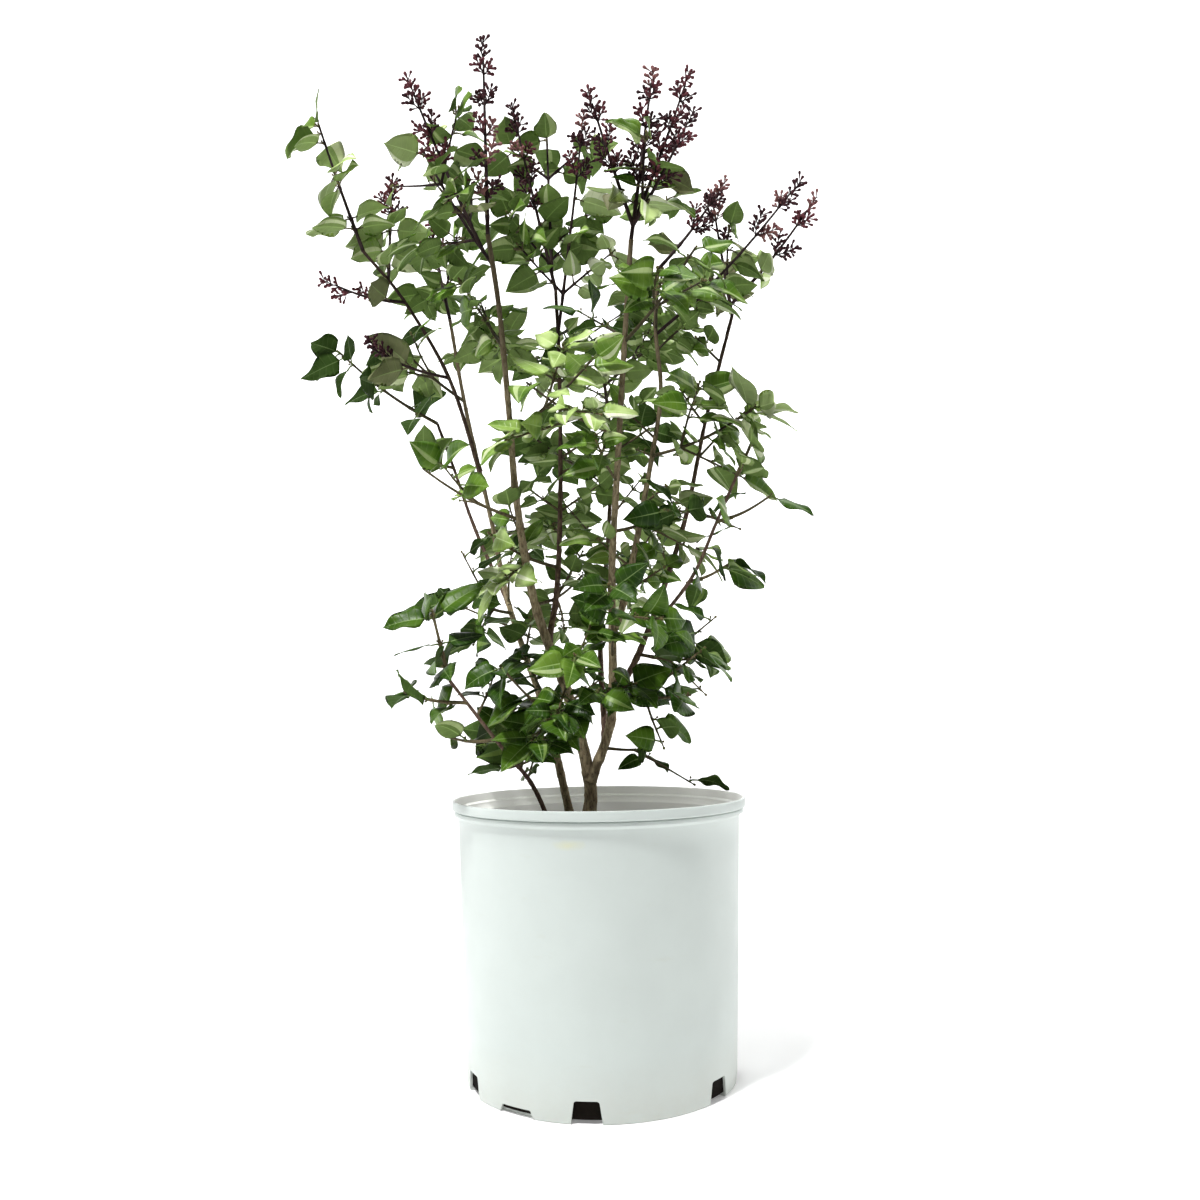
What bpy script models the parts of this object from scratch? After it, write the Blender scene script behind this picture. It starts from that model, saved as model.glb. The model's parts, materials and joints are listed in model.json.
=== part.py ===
"""A young lilac bush in bud, standing in its white nursery pot.

Metres, +Z up. +X is to the right and +Y runs away from someone who faces the bush. The origin is on
the pot's axis, on the surface that the pot stands on.

Stems are tapering tubes through a few bends. Shoots grow from them by one seeded rule: opposite
pairs of leaves or of twigs, each pair turned a quarter from the last, and a panicle of buds where
the shoot flowers. Each group of shoots that leaves a stem at one place is a single solid.
"""

import math
import random

import bmesh
import bpy
from mathutils import Quaternion, Vector
from mathutils.bvhtree import BVHTree

SEED = 11
GAP = 0.0003
UP = Vector((0, 0, 1))
MM = 0.001

# Pot
POT_HEIGHT = 0.214
RIM_RADIUS = 0.116
RIM_BAND = 0.008
BEAD_RADIUS = 0.1143
BEAD_HEIGHT = 0.0035
WALL_TOP_RADIUS = 0.111
WALL_FOOT_RADIUS = 0.1045
FOOT_CHAMFER = 0.0015
WALL = 0.002
FLOOR = 0.0025
POT_SIDES = 48
DRAINS = 6
DRAIN_TURN = math.radians(-96)
DRAIN_WIDTH = 0.023
DRAIN_HEIGHT = 0.016
DRAIN_REACH = 0.013
DRAIN_SHOULDER = 0.8
ARCHES = 3
ARCH_WIDTH = 0.034
ARCH_HEIGHT = 0.006
ARCH_REACH = 0.0045

# Soil
SOIL_TOP = 0.1945
SOIL_SIDES = 24

# Stems
STEM_STEP = 0.028
TAPER = 1.2
FLARE = 1.35
FLARE_SHARE = 0.35

# Leaves, a little larger than life because there are fewer of them
LEAF_LENGTH = 0.045
LEAF_WIDTH = 0.62
LEAF_WIDEST = 0.42
LEAF_THICKNESS = 0.0015
LEAF_RIDGE = 0.3
LEAF_DROOP = 0.12
LEAF_CUP = 0.06
LEAF_HANG = 0.30
LEAF_TILT = 0.55
LEAF_WANDER = 0.18
LEAF_TRIES = 4
LEAF_SPREAD = (0.85, 1.05)
LOWEST_LEAF = POT_HEIGHT + 0.010

# Shoots and twigs
INTERNODE = 0.035
SHOOT_RADIUS = 0.0017
SHOOT_STRETCHES = 4
SHOOT_SAG = 0.06
SHOOT_TRIES = 16
SHOOT_TURN = 3.5
SHOOT_END = 0.97
NODE_SHARE = 0.75
NODE_AHEAD = 0.55
TWIG_AHEAD = 0.3
FACE_AHEAD = 0.4
END_SPREAD = 0.7
END_LEAF = 0.8
FORK_SHARE = 0.09
TWIG_LENGTH = 0.052
TWIG_RADIUS = 0.0011
TWIG_TIP_RADIUS = 0.0009
TWIG_SIDES = 3
TWIG_PAIRS = (0.5, 0.94)
TWIG_TWIST = 0.7
TWIG_SPREAD = 0.1
TWIG_LEAVES = (0.8, 1.02)
TWIG_REACH = (0.8, 1.1)

# How far a piece's root is sunk in what carries it, and how far pieces of other masses stay away
ROOT = 0.003
MARGIN = 0.0004

# Buds
BUD_STEP = 0.0125
BUD_CLUSTER = 0.019
BUD_FOOT = 1.35
BUD_TIP = 0.6
BUD_WIDTH = 0.40
BUD_WAIST = 0.6
BUD_AHEAD = 0.9
BUD_WANDER = 0.12
FIRST_BUD = 0.3

# Stem: radius at its foot and at its tip, sides, the stem it leaves, and its bends from foot to tip
STEMS = {
    "trunk": (0.0056, 0.0019, 8, None, (
        (-0.009, 0.000, SOIL_TOP), (-0.007, 0.000, 0.226), (-0.022, -0.010, 0.291), (-0.048, -0.020, 0.366),
        (-0.061, -0.035, 0.445), (-0.066, -0.050, 0.520), (-0.072, -0.060, 0.595), (-0.080, -0.065, 0.652))),
    "centre_stem": (0.0042, 0.0019, 7, "trunk", (
        (-0.007, 0.000, 0.226), (0.006, -0.004, 0.258), (0.012, -0.010, 0.291), (0.013, -0.030, 0.393),
        (0.017, -0.045, 0.454), (0.022, -0.060, 0.527), (0.031, -0.070, 0.644))),
    "inner_stem": (0.0026, 0.0015, 6, "trunk", (
        (-0.038, -0.016, 0.337), (-0.032, 0.005, 0.381), (-0.029, 0.022, 0.455), (-0.029, 0.040, 0.570),
        (-0.032, 0.050, 0.651))),
    "right_stem": (0.0030, 0.0016, 6, "centre_stem", (
        (0.013, -0.021, 0.345), (0.024, -0.010, 0.376), (0.048, 0.010, 0.492), (0.057, 0.020, 0.550),
        (0.054, 0.025, 0.605), (0.057, 0.030, 0.660))),
    "second_trunk": (0.0036, 0.0016, 7, None, (
        (-0.022, 0.020, SOIL_TOP), (-0.042, 0.032, 0.275), (-0.075, 0.055, 0.373), (-0.092, 0.070, 0.452),
        (-0.115, 0.080, 0.553), (-0.130, 0.085, 0.638))),
    "low_left_stem": (0.0020, 0.0012, 5, None, (
        (-0.036, -0.022, SOIL_TOP), (-0.051, -0.034, 0.227), (-0.074, -0.050, 0.258),
        (-0.110, -0.065, 0.307))),
    "upper_left_stem": (0.0020, 0.0013, 5, "second_trunk", (
        (-0.103, 0.074, 0.495), (-0.126, 0.050, 0.573), (-0.163, 0.035, 0.638), (-0.195, 0.020, 0.676))),
    "thin_left_stem": (0.0018, 0.0013, 5, "second_trunk", (
        (-0.075, 0.055, 0.373), (-0.107, 0.080, 0.444), (-0.128, 0.100, 0.502), (-0.145, 0.110, 0.548))),
    "right_arm_stem": (0.0028, 0.0015, 6, "centre_stem", (
        (0.012, -0.010, 0.291), (0.036, 0.000, 0.333), (0.073, 0.025, 0.432), (0.096, 0.035, 0.529),
        (0.122, 0.045, 0.624))),
    "thin_right_stem": (0.0017, 0.0012, 5, "right_arm_stem", (
        (0.041, 0.002, 0.342), (0.075, -0.025, 0.385), (0.095, -0.040, 0.428), (0.110, -0.050, 0.462))),
    "back_stem": (0.0026, 0.0015, 6, "centre_stem", (
        (0.006, -0.004, 0.258), (0.003, 0.050, 0.342), (0.011, 0.085, 0.434), (0.015, 0.110, 0.531),
        (0.005, 0.130, 0.632))),
}

# Shoots: the stem, the height where they leave it, and for each its bearing and rise in degrees, its
# reach, and the length of the panicle at its end
SHOOTS = {
    "tall_panicle": ("trunk", 0.660, (-119, 88, 0.145, 0.125)),
    "top_left_sprays": ("trunk", 0.628, (154, 59, 0.124, 0), (-164, 66, 0.135, 0.07)),
    "inner_top_sprays": ("inner_stem", 0.660, (-154, 76, 0.155, 0.09), (106, 84, 0.135, 0)),
    "small_panicle": ("inner_stem", 0.609, (-45, 76, 0.170, 0.05)),
    "crown_panicles": ("centre_stem", 0.650, (0, 82, 0.128, 0.09), (-167, 72, 0.100, 0.065),
                       (30, 68, 0.140, 0.08), (-25, 57, 0.085, 0.06)),
    "right_panicle": ("right_stem", 0.666, (0, 52, 0.088, 0.05)),
    "fork_panicles": ("right_arm_stem", 0.630, (161, 82, 0.105, 0.05), (-20, 47, 0.106, 0.06)),
    "far_panicle": ("right_stem", 0.601, (-22, 41, 0.157, 0.055)),
    "right_arm": ("right_stem", 0.492, (-30, 17, 0.095, 0)),
    "thin_right_tip": ("thin_right_stem", 0.468, (0, 65, 0.034, 0)),
    "thin_right_side": ("thin_right_stem", 0.428, (-32, 19, 0.045, 0)),
    "right_drop": ("thin_right_stem", 0.382, (-24, 21, 0.034, 0)),
    "right_inner": ("right_arm_stem", 0.455, (-74, -20, 0.060, 0)),
    "low_right": ("right_arm_stem", 0.327, (-14, -2, 0.058, 0)),
    "low_right_front": ("centre_stem", 0.300, (-40, -4, 0.077, 0)),
    "low_right_twig": ("centre_stem", 0.252, (-24, 6, 0.060, 0)),
    "low_left_front": ("trunk", 0.263, (-129, 31, 0.098, 0)),
    "low_front": ("trunk", 0.291, (-72, 5, 0.070, 0)),
    "low_left_back": ("second_trunk", 0.255, (138, -20, 0.060, 0)),
    "foot_left_tip": ("low_left_stem", 0.311, (180, 76, 0.055, 0)),
    "foot_left_arm": ("low_left_stem", 0.290, (-171, 12, 0.050, 0)),
    "foot_left_low": ("low_left_stem", 0.262, (144, 4, 0.055, 0)),
    "left_mid_low": ("second_trunk", 0.366, (-121, 12, 0.062, 0)),
    "left_arm": ("thin_left_stem", 0.552, (-171, 36, 0.112, 0)),
    "left_small_panicle": ("upper_left_stem", 0.573, (-153, 15, 0.072, 0.03)),
    "left_side": ("thin_left_stem", 0.504, (-167, 19, 0.045, 0)),
    "upper_left_tip": ("upper_left_stem", 0.680, (180, 71, 0.122, 0)),
    "upper_left_inner": ("upper_left_stem", 0.654, (96, 72, 0.101, 0.04)),
    "left_panicle": ("upper_left_stem", 0.636, (-164, 10, 0.058, 0.045)),
    "upper_left_back": ("second_trunk", 0.642, (132, 72, 0.102, 0.04)),
}

# Stems so young that their shoots have leaves only, and no twigs
YOUNG_STEMS = ("low_left_stem", "upper_left_stem", "thin_left_stem", "thin_right_stem")

# Shoots that fill the crown: the heights of a stem's lowest and highest, how many, and the lowest's bearing
CROWN = {
    "trunk": (0.300, 0.565, 5, -80),
    "centre_stem": (0.350, 0.565, 4, -92),
    "inner_stem": (0.400, 0.565, 3, -130),
    "back_stem": (0.395, 0.585, 3, 60),
    "second_trunk": (0.440, 0.560, 2, 60),
}
CROWN_TURN = 137.5
CROWN_REACH = 0.085
CROWN_RISE = (15, 40)

# Colour, roughness
FINISHES = {
    "pot": ((0.80, 0.83, 0.80), 0.45),
    "soil": ((0.035, 0.022, 0.014), 0.95),
    "stem": ((0.22, 0.16, 0.11), 0.8),
    "foliage": ((0.10, 0.22, 0.05), 0.5),
}


def finish(name):
    """The material of this name, made once."""
    found = bpy.data.materials.get(name)
    if found:
        return found
    colour, roughness = FINISHES[name]
    made = bpy.data.materials.new(name)
    made.use_nodes = True
    shader = made.node_tree.nodes["Principled BSDF"]
    shader.inputs["Base Color"].default_value = (*colour, 1)
    shader.inputs["Roughness"].default_value = roughness
    shader.inputs["Metallic"].default_value = 0
    made.diffuse_color = (*colour, 1)
    return made


def add_object(name, shape, finish_name, collection=None):
    """An object from (points, faces)."""
    mesh = bpy.data.meshes.new(name)
    mesh.from_pydata([tuple(p) for p in shape[0]], [], shape[1])
    mesh.materials.append(finish(finish_name))
    obj = bpy.data.objects.new(name, mesh)
    (collection or bpy.context.scene.collection).objects.link(obj)
    return obj


def smooth(obj, degrees):
    obj.data.shade_smooth()
    obj.data.set_sharp_from_angle(angle=math.radians(degrees))


def shape_of(obj):
    """An object's (points, faces)."""
    return [v.co.copy() for v in obj.data.vertices], [list(p.vertices) for p in obj.data.polygons]


def turned(profile, sides):
    """A closed profile of (radius, height) points turned round Z. It starts and ends on the axis."""
    points = []
    rings = []
    for radius, height in profile:
        if radius == 0:
            rings.append([len(points)])
            points.append((0, 0, height))
            continue
        rings.append(list(range(len(points), len(points) + sides)))
        for k in range(sides):
            turn = math.tau * k / sides
            points.append((radius * math.cos(turn), radius * math.sin(turn), height))
    faces = []
    for low, high in zip(rings, rings[1:]):
        for k in range(sides):
            after = (k + 1) % sides
            corners = [low[k % len(low)], low[after % len(low)], high[after % len(high)], high[k % len(high)]]
            corners = [c for i, c in enumerate(corners) if c not in corners[:i]]
            faces.append(corners)
    return points, faces


def wall_radius(height):
    """The outside of the pot's wall, which narrows towards its foot."""
    share = height / (POT_HEIGHT - RIM_BAND - BEAD_HEIGHT)
    return WALL_FOOT_RADIUS + (WALL_TOP_RADIUS - WALL_FOOT_RADIUS) * share


def prism(outline, near, far):
    """A closed solid from an outline of (across, height) points, from radius near to radius far along +X."""
    count = len(outline)
    points = [(radius, across, height) for radius in (near, far) for across, height in outline]
    faces = [list(range(count - 1, -1, -1)), list(range(count, 2 * count))]
    for k in range(count):
        after = (k + 1) % count
        faces.append([k, after, after + count, k + count])
    return points, faces


def apply_boolean(obj, operation, solver, other):
    """Joins or cuts an object with another one, or with a collection of them, for good."""
    boolean = obj.modifiers.new("boolean", "BOOLEAN")
    boolean.operation = operation
    boolean.solver = solver
    if isinstance(other, bpy.types.Collection):
        boolean.operand_type = "COLLECTION"
        boolean.collection = other
    else:
        boolean.object = other
    bpy.context.view_layer.update()
    graph = bpy.context.evaluated_depsgraph_get()
    mesh = bpy.data.meshes.new_from_object(obj.evaluated_get(graph))
    obj.modifiers.remove(boolean)
    old = obj.data
    obj.data = mesh
    bpy.data.meshes.remove(old)


def make_pot():
    inner_top = POT_HEIGHT - RIM_BAND
    bead_low = inner_top - BEAD_HEIGHT
    foot = WALL_FOOT_RADIUS
    profile = [
        (0, 0),
        (foot - FOOT_CHAMFER, 0),
        (foot, FOOT_CHAMFER),
        (WALL_TOP_RADIUS, bead_low - 2 * MM),
        (BEAD_RADIUS, bead_low),
        (BEAD_RADIUS, inner_top),
        (RIM_RADIUS, inner_top + MM),
        (RIM_RADIUS, POT_HEIGHT - MM),
        (RIM_RADIUS - MM, POT_HEIGHT),
        (RIM_RADIUS - WALL, POT_HEIGHT),
        (RIM_RADIUS - WALL - MM, inner_top),
        (WALL_TOP_RADIUS - WALL, bead_low - 2 * MM),
        (wall_radius(FLOOR) - WALL, FLOOR),
        (0, FLOOR),
    ]
    pot = add_object("pot", turned(profile, POT_SIDES), "pot")
    for k in range(DRAINS):
        cut_foot(pot, DRAIN_WIDTH, DRAIN_HEIGHT, DRAIN_REACH, DRAIN_TURN + math.tau * k / DRAINS)
    for k in range(ARCHES):
        turn = DRAIN_TURN + math.tau * (k - 0.25) / ARCHES
        cut_foot(pot, ARCH_WIDTH, ARCH_HEIGHT, ARCH_REACH, turn)
    smooth(pot, 30)
    return pot


def cut_foot(pot, width, height, reach, turn):
    """Cuts a notch with rounded shoulders into the pot's foot, reaching in from the wall."""
    half = width / 2
    shoulder = DRAIN_SHOULDER * half
    below = -2 * MM
    outline = [(-half, below), (half, below), (shoulder, height - MM), (shoulder - MM, height),
               (MM - shoulder, height), (-shoulder, height - MM)]
    cutter = add_object("cutter", prism(outline, WALL_FOOT_RADIUS - reach, RIM_RADIUS), "pot")
    cutter.rotation_euler.z = turn
    apply_boolean(pot, "DIFFERENCE", "EXACT", cutter)
    bpy.data.objects.remove(cutter)


def make_soil():
    low = FLOOR + GAP
    inside = WALL + GAP
    profile = [(0, low), (wall_radius(low) - inside, low), (wall_radius(SOIL_TOP) - inside, SOIL_TOP),
               (0, SOIL_TOP)]
    soil = add_object("soil", turned(profile, SOIL_SIDES), "soil")
    smooth(soil, 30)
    return soil


def spline_point(bends, place):
    """A point of the smooth curve through the bends. place runs from 0 to the number of stretches."""
    stretch = min(int(place), len(bends) - 2)
    share = place - stretch
    before = bends[stretch - 1] if stretch else bends[0] * 2 - bends[1]
    a = bends[stretch]
    b = bends[stretch + 1]
    after = bends[stretch + 2] if stretch + 2 < len(bends) else b * 2 - a
    return 0.5 * (
        2 * a
        + (b - before) * share
        + (2 * before - 5 * a + 4 * b - after) * share ** 2
        + (3 * a - before - 3 * b + after) * share ** 3
    )


def route_through(bends, step):
    """Points of the smooth curve through the bends, about a step apart."""
    length = sum((b - a).length for a, b in zip(bends, bends[1:]))
    count = max(2, round(length / step))
    return [spline_point(bends, (len(bends) - 1) * k / count) for k in range(count + 1)]


def tube(route, radii, sides, cut_by=None):
    """A tapering tube along a route. Its first ring lies in the plane cut_by, a point and a normal."""
    points = []
    across = None
    for k, centre in enumerate(route):
        along = (route[min(k + 1, len(route) - 1)] - route[max(k - 1, 0)]).normalized()
        if across is None:
            across = along.orthogonal().normalized()
        across = (across - along * across.dot(along)).normalized()
        other = along.cross(across)
        for side in range(sides):
            turn = math.tau * side / sides
            point = centre + radii[k] * (math.cos(turn) * across + math.sin(turn) * other)
            if k == 0 and cut_by:
                place, normal = cut_by
                point += along * ((place - point).dot(normal) / along.dot(normal))
            points.append(point)
    faces = [list(range(sides - 1, -1, -1)), list(range(len(points) - sides, len(points)))]
    for k in range(len(route) - 1):
        for side in range(sides):
            a = k * sides + side
            b = k * sides + (side + 1) % sides
            faces.append([a, b, b + sides, a + sides])
    return points, faces


class Stem:
    """A tapering stem: its route, and its radius at each point of it."""

    def __init__(self, foot_radius, tip_radius, sides, parent, bends):
        self.route = route_through([Vector(b) for b in bends], STEM_STEP)
        last = len(self.route) - 1
        slimming = foot_radius - tip_radius
        self.radii = [tip_radius + slimming * (1 - k / last) ** TAPER for k in range(last + 1)]
        if parent:
            foot = self.leave(parent)
        else:
            foot = self.stand_on_soil()
        self.solid = tube(self.route, self.radii, sides, foot)

    def stand_on_soil(self):
        """Adds the flare at the foot, and returns the level plane that the foot is cut by."""
        self.route[0] = self.route[0] + UP * GAP
        above_flare = self.route[0].lerp(self.route[1], FLARE_SHARE)
        self.route.insert(1, above_flare)
        self.radii.insert(1, self.radii[0])
        self.radii[0] *= FLARE
        return self.route[0], UP

    def leave(self, parent):
        """Starts the stem on its parent's side, and returns the plane that the foot is cut by."""
        point, along, radius, _ = parent.at_height(self.route[0].z)
        self.route[0], foot = side_start(point, along, radius, self.route[1] - point)
        return foot

    def at_height(self, height):
        """Where the stem passes a height: the point, direction and radius, and whether it is the tip."""
        for k, (low, high) in enumerate(zip(self.route, self.route[1:])):
            if low.z <= height < high.z:
                share = (height - low.z) / (high.z - low.z)
                radius = self.radii[k] + (self.radii[k + 1] - self.radii[k]) * share
                return low.lerp(high, share), (high - low).normalized(), radius, False
        return self.route[-1], (self.route[-1] - self.route[-2]).normalized(), self.radii[-1], True


def side_start(point, along, radius, towards):
    """Where something that heads towards a place leaves a stem's side, and the plane that it is cut by."""
    outward = (towards - along * towards.dot(along)).normalized()
    place = point + outward * (radius + GAP)
    ahead = towards.normalized()
    start = point + ahead * ((place - point).dot(outward) / ahead.dot(outward))
    return start, (place, outward)


def direction(bearing, rise):
    """The unit direction of a bearing from +X towards +Y and a rise above level, in degrees."""
    bearing = math.radians(bearing)
    rise = math.radians(rise)
    level = math.cos(rise)
    return Vector((level * math.cos(bearing), level * math.sin(bearing), math.sin(rise)))


def length_of(route):
    return sum((b - a).length for a, b in zip(route, route[1:]))


def place_on(route, share):
    """The point and direction at a share of a route's length."""
    left = share * length_of(route)
    for a, b in zip(route, route[1:]):
        stretch = (b - a).length
        if left <= stretch:
            return a.lerp(b, left / stretch), (b - a).normalized()
        left -= stretch
    return route[-1], (route[-1] - route[-2]).normalized()


def shoot_route(start, bearing, rise, reach):
    """A shoot that leaves flatter than it ends, as shoots turn up to the light."""
    end = start + direction(bearing, rise) * reach
    sag = SHOOT_SAG * reach * math.cos(math.radians(rise))
    shares = [k / SHOOT_STRETCHES for k in range(SHOOT_STRETCHES + 1)]
    return [start.lerp(end, share) - UP * sag * math.sin(math.pi * share) for share in shares]


def leaf(root, ahead, face, length, grown=0.0):
    """A blade of six faces, folded a little along its midrib. grown makes it that much larger all round."""
    side = ahead.cross(face).normalized()
    face = side.cross(ahead)
    half = length * LEAF_WIDTH / 2 + grown
    widest = root + ahead * length * LEAF_WIDEST + face * (length * LEAF_CUP - grown)
    tip = root + ahead * (length + grown) - face * length * LEAF_DROOP
    ridge = root + ahead * length * LEAF_RIDGE + face * (LEAF_THICKNESS + grown)
    points = [root - face * grown, widest + side * half, tip, widest - side * half, ridge]
    return points, [[0, 1, 4], [1, 2, 4], [2, 3, 4], [3, 0, 4], [0, 2, 1], [0, 3, 2]]


def bud_cluster(root, ahead, length, grown=0.0):
    """A three-sided spindle of buds."""
    side = ahead.orthogonal().normalized()
    other = ahead.cross(side)
    half = length * BUD_WIDTH / 2 + grown
    waist = root + ahead * length * BUD_WAIST
    points = [root, root + ahead * (length + grown)]
    faces = []
    for k in range(3):
        turn = math.tau * k / 3
        points.append(waist + half * (math.cos(turn) * side + math.sin(turn) * other))
        a = 2 + k
        b = 2 + (k + 1) % 3
        faces.append([0, b, a])
        faces.append([1, a, b])
    return points, faces


class Space:
    """Shapes that a new piece has to stay clear of."""

    def __init__(self):
        self.points = []
        self.faces = []
        self.tree = None

    def add(self, shape):
        start = len(self.points)
        self.points += [Vector(p) for p in shape[0]]
        self.faces += [[start + c for c in face] for face in shape[1]]
        self.tree = None

    def touches(self, *shapes):
        if not self.faces:
            return False
        if self.tree is None:
            self.tree = BVHTree.FromPolygons(self.points, self.faces)
        return any(self.tree.overlap(BVHTree.FromPolygons(points, faces)) for points, faces in shapes)


class Mass:
    """The shoots that leave a stem at one place, as pieces to be joined."""

    def __init__(self, world, rng, young):
        self.world = world
        self.own = Space()
        self.rng = rng
        self.young = young
        self.pieces = []

    def scatter(self, most):
        """A small random step."""
        return Vector([self.rng.uniform(-most, most) for _ in range(3)])

    def add_if_clear(self, piece, grown):
        """Keeps a piece unless it would touch another mass or a stem, or crowd its own mass."""
        if self.world.touches(piece, grown) or self.own.touches(grown):
            return False
        self.pieces.append(piece)
        self.own.add(grown)
        return True

    def add_leaf(self, root, ahead, length, facing=UP):
        """Adds a leaf, turned a little until it is clear, or leaves it out."""
        for attempt in range(LEAF_TRIES):
            heading = (ahead + self.scatter(LEAF_WANDER * attempt) - UP * LEAF_HANG).normalized()
            face = (facing + self.scatter(LEAF_TILT)).normalized()
            blade = leaf(root, heading, face, length)
            if abs(face.dot(heading)) > 0.9 or min(p.z for p in blade[0]) < LOWEST_LEAF:
                continue
            if self.add_if_clear(blade, leaf(root + heading * ROOT, heading, face, length - ROOT, MARGIN)):
                return

    def add_twig(self, root, ahead, length, facing):
        """A twig with a pair of leaves half-way and a pair at its tip, or one leaf where it has no room."""
        end = root + ahead * length
        stick = tube([root, end], [TWIG_RADIUS, TWIG_TIP_RADIUS], TWIG_SIDES)
        grown = tube([root + ahead * ROOT, end], [TWIG_RADIUS + MARGIN] * 2, TWIG_SIDES)
        if not self.add_if_clear(stick, grown):
            self.add_leaf(root, ahead, LEAF_LENGTH, facing)
            return
        side = ahead.cross(facing).normalized()
        for share in TWIG_PAIRS:
            point = root + ahead * length * share
            for turn in (-1, 1):
                heading = (ahead * (share + TWIG_SPREAD) + side * turn).normalized()
                self.add_leaf(point, heading, LEAF_LENGTH * self.rng.uniform(*TWIG_LEAVES), facing)
            side = Quaternion(ahead, TWIG_TWIST) @ side

    def add_panicle(self, route):
        """Clusters of buds in opposite pairs along a route, longest at its foot, and one at its tip."""
        nodes = max(2, round(length_of(route) / (2 * BUD_STEP)))
        for k in range(nodes):
            share = (k + FIRST_BUD) / nodes
            point, along = place_on(route, share)
            across = Quaternion(along, math.pi / 2 * k) @ along.orthogonal().normalized()
            length = BUD_CLUSTER * (BUD_FOOT + (BUD_TIP - BUD_FOOT) * share)
            for side in (-1, 1):
                heading = (along * BUD_AHEAD + across * side + self.scatter(BUD_WANDER)).normalized()
                grown = bud_cluster(point + heading * ROOT, heading, length - ROOT, MARGIN)
                self.add_if_clear(bud_cluster(point, heading, length), grown)
        point, along = place_on(route, 1)
        crown = bud_cluster(point - along * 2 * ROOT, along, BUD_CLUSTER)
        self.add_if_clear(crown, bud_cluster(point, along, BUD_CLUSTER - 2 * ROOT, MARGIN))

    def add_shoot(self, route, panicle):
        """Pairs of leaves or twigs along a route, and a panicle or a last pair of leaves at its end."""
        length = length_of(route)
        leafy = (length - panicle) / length
        nodes = max(1, round(leafy * length / INTERNODE))
        turn = self.rng.uniform(0, math.pi)
        for k in range(nodes):
            point, along = place_on(route, min((k + NODE_SHARE) / nodes * leafy, SHOOT_END))
            across = Quaternion(along, turn + math.pi / 2 * k) @ level_across(along)
            facing = (UP + along * FACE_AHEAD).normalized()
            for side in (-1, 1):
                heading = (along * NODE_AHEAD + across * side).normalized()
                if k % 2 == 0 and k < nodes - 1 and not self.young:
                    reach = TWIG_LENGTH * self.rng.uniform(*TWIG_REACH)
                    self.add_twig(point, (heading + along * TWIG_AHEAD).normalized(), reach, facing)
                else:
                    self.add_leaf(point, heading, LEAF_LENGTH * self.rng.uniform(*LEAF_SPREAD), facing)
        if panicle:
            shares = [1 - panicle / length * (1 - k / 3) for k in range(4)]
            self.add_panicle([place_on(route, share)[0] for share in shares])
            return
        point, along = place_on(route, SHOOT_END)
        across = Quaternion(along, turn + math.pi / 2 * nodes) @ level_across(along)
        for side in (-1, 1):
            heading = (along + across * side * END_SPREAD).normalized()
            self.add_leaf(point, heading, LEAF_LENGTH * END_LEAF)

    def joined(self, name):
        """One object: the first piece with every other fused to it."""
        first, *others = self.pieces
        obj = add_object(name, first, "foliage")
        collection = bpy.data.collections.new("pieces")
        bpy.context.scene.collection.children.link(collection)
        for piece in others:
            add_object("piece", piece, "foliage", collection)
        apply_boolean(obj, "UNION", "MANIFOLD", collection)
        for piece in list(collection.objects):
            bpy.data.objects.remove(piece)
        bpy.data.collections.remove(collection)
        keep_main_body(obj)
        return obj


def level_across(along):
    """The level direction at right angles to another, or +X for one that stands upright."""
    across = along.cross(UP)
    return across.normalized() if across.length > 0.3 else Vector((1, 0, 0))


def keep_main_body(obj):
    """Drops loose scraps and fills sealed hollows: only the largest closed surface stays."""
    work = bmesh.new()
    work.from_mesh(obj.data)
    waiting = set(work.verts)
    bodies = []
    while waiting:
        body = {waiting.pop()}
        front = list(body)
        while front:
            vert = front.pop()
            near = {edge.other_vert(vert) for edge in vert.link_edges} & waiting
            waiting -= near
            body |= near
            front += near
        bodies.append(body)
    largest = max(bodies, key=len)
    bmesh.ops.delete(work, geom=[v for v in work.verts if v not in largest], context="VERTS")
    work.to_mesh(obj.data)
    work.free()


def grow_mass(name, stem, height, shoots, world, rng, young):
    """All the shoots that leave a stem at a height, as one object."""
    mass = Mass(world, rng, young)
    point, along, radius, at_tip = stem.at_height(height)
    grown = []
    for bearing, rise, reach, panicle in shoots:
        for attempt in range(SHOOT_TRIES):
            turned_by = SHOOT_TURN * attempt * (-1) ** attempt
            foot = None
            if grown:
                start = place_on(grown[0][0], FORK_SHARE)[0]
            elif at_tip:
                start = point + along * GAP
                foot = (start, along)
            else:
                start, foot = side_start(point, along, radius, direction(bearing + turned_by, rise))
            route = shoot_route(start, bearing + turned_by, rise, reach)
            last = len(route) - 1
            radii = [SHOOT_RADIUS + (TWIG_RADIUS - SHOOT_RADIUS) * k / last for k in range(last + 1)]
            stick = tube(route, radii, TWIG_SIDES, foot)
            if not world.touches(stick):
                mass.pieces.append(stick)
                grown.append((route, panicle))
                break
    for route, panicle in grown:
        mass.own = Space()
        mass.add_shoot(route, panicle)
    obj = mass.joined(name)
    world.add(shape_of(obj))


def crown_shoots(stems):
    """The shoots that fill the crown: up each stem, each turned on from the one below it and steeper."""
    for name, (low, high, count, bearing) in CROWN.items():
        for k in range(count):
            share = k / (count - 1)
            height = low + (high - low) * share
            rise = CROWN_RISE[0] + (CROWN_RISE[1] - CROWN_RISE[0]) * share
            shoot = (bearing + CROWN_TURN * k, rise, CROWN_REACH, 0)
            yield f"{name}_shoot_{k + 1}", stems[name], height, [shoot]


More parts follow.
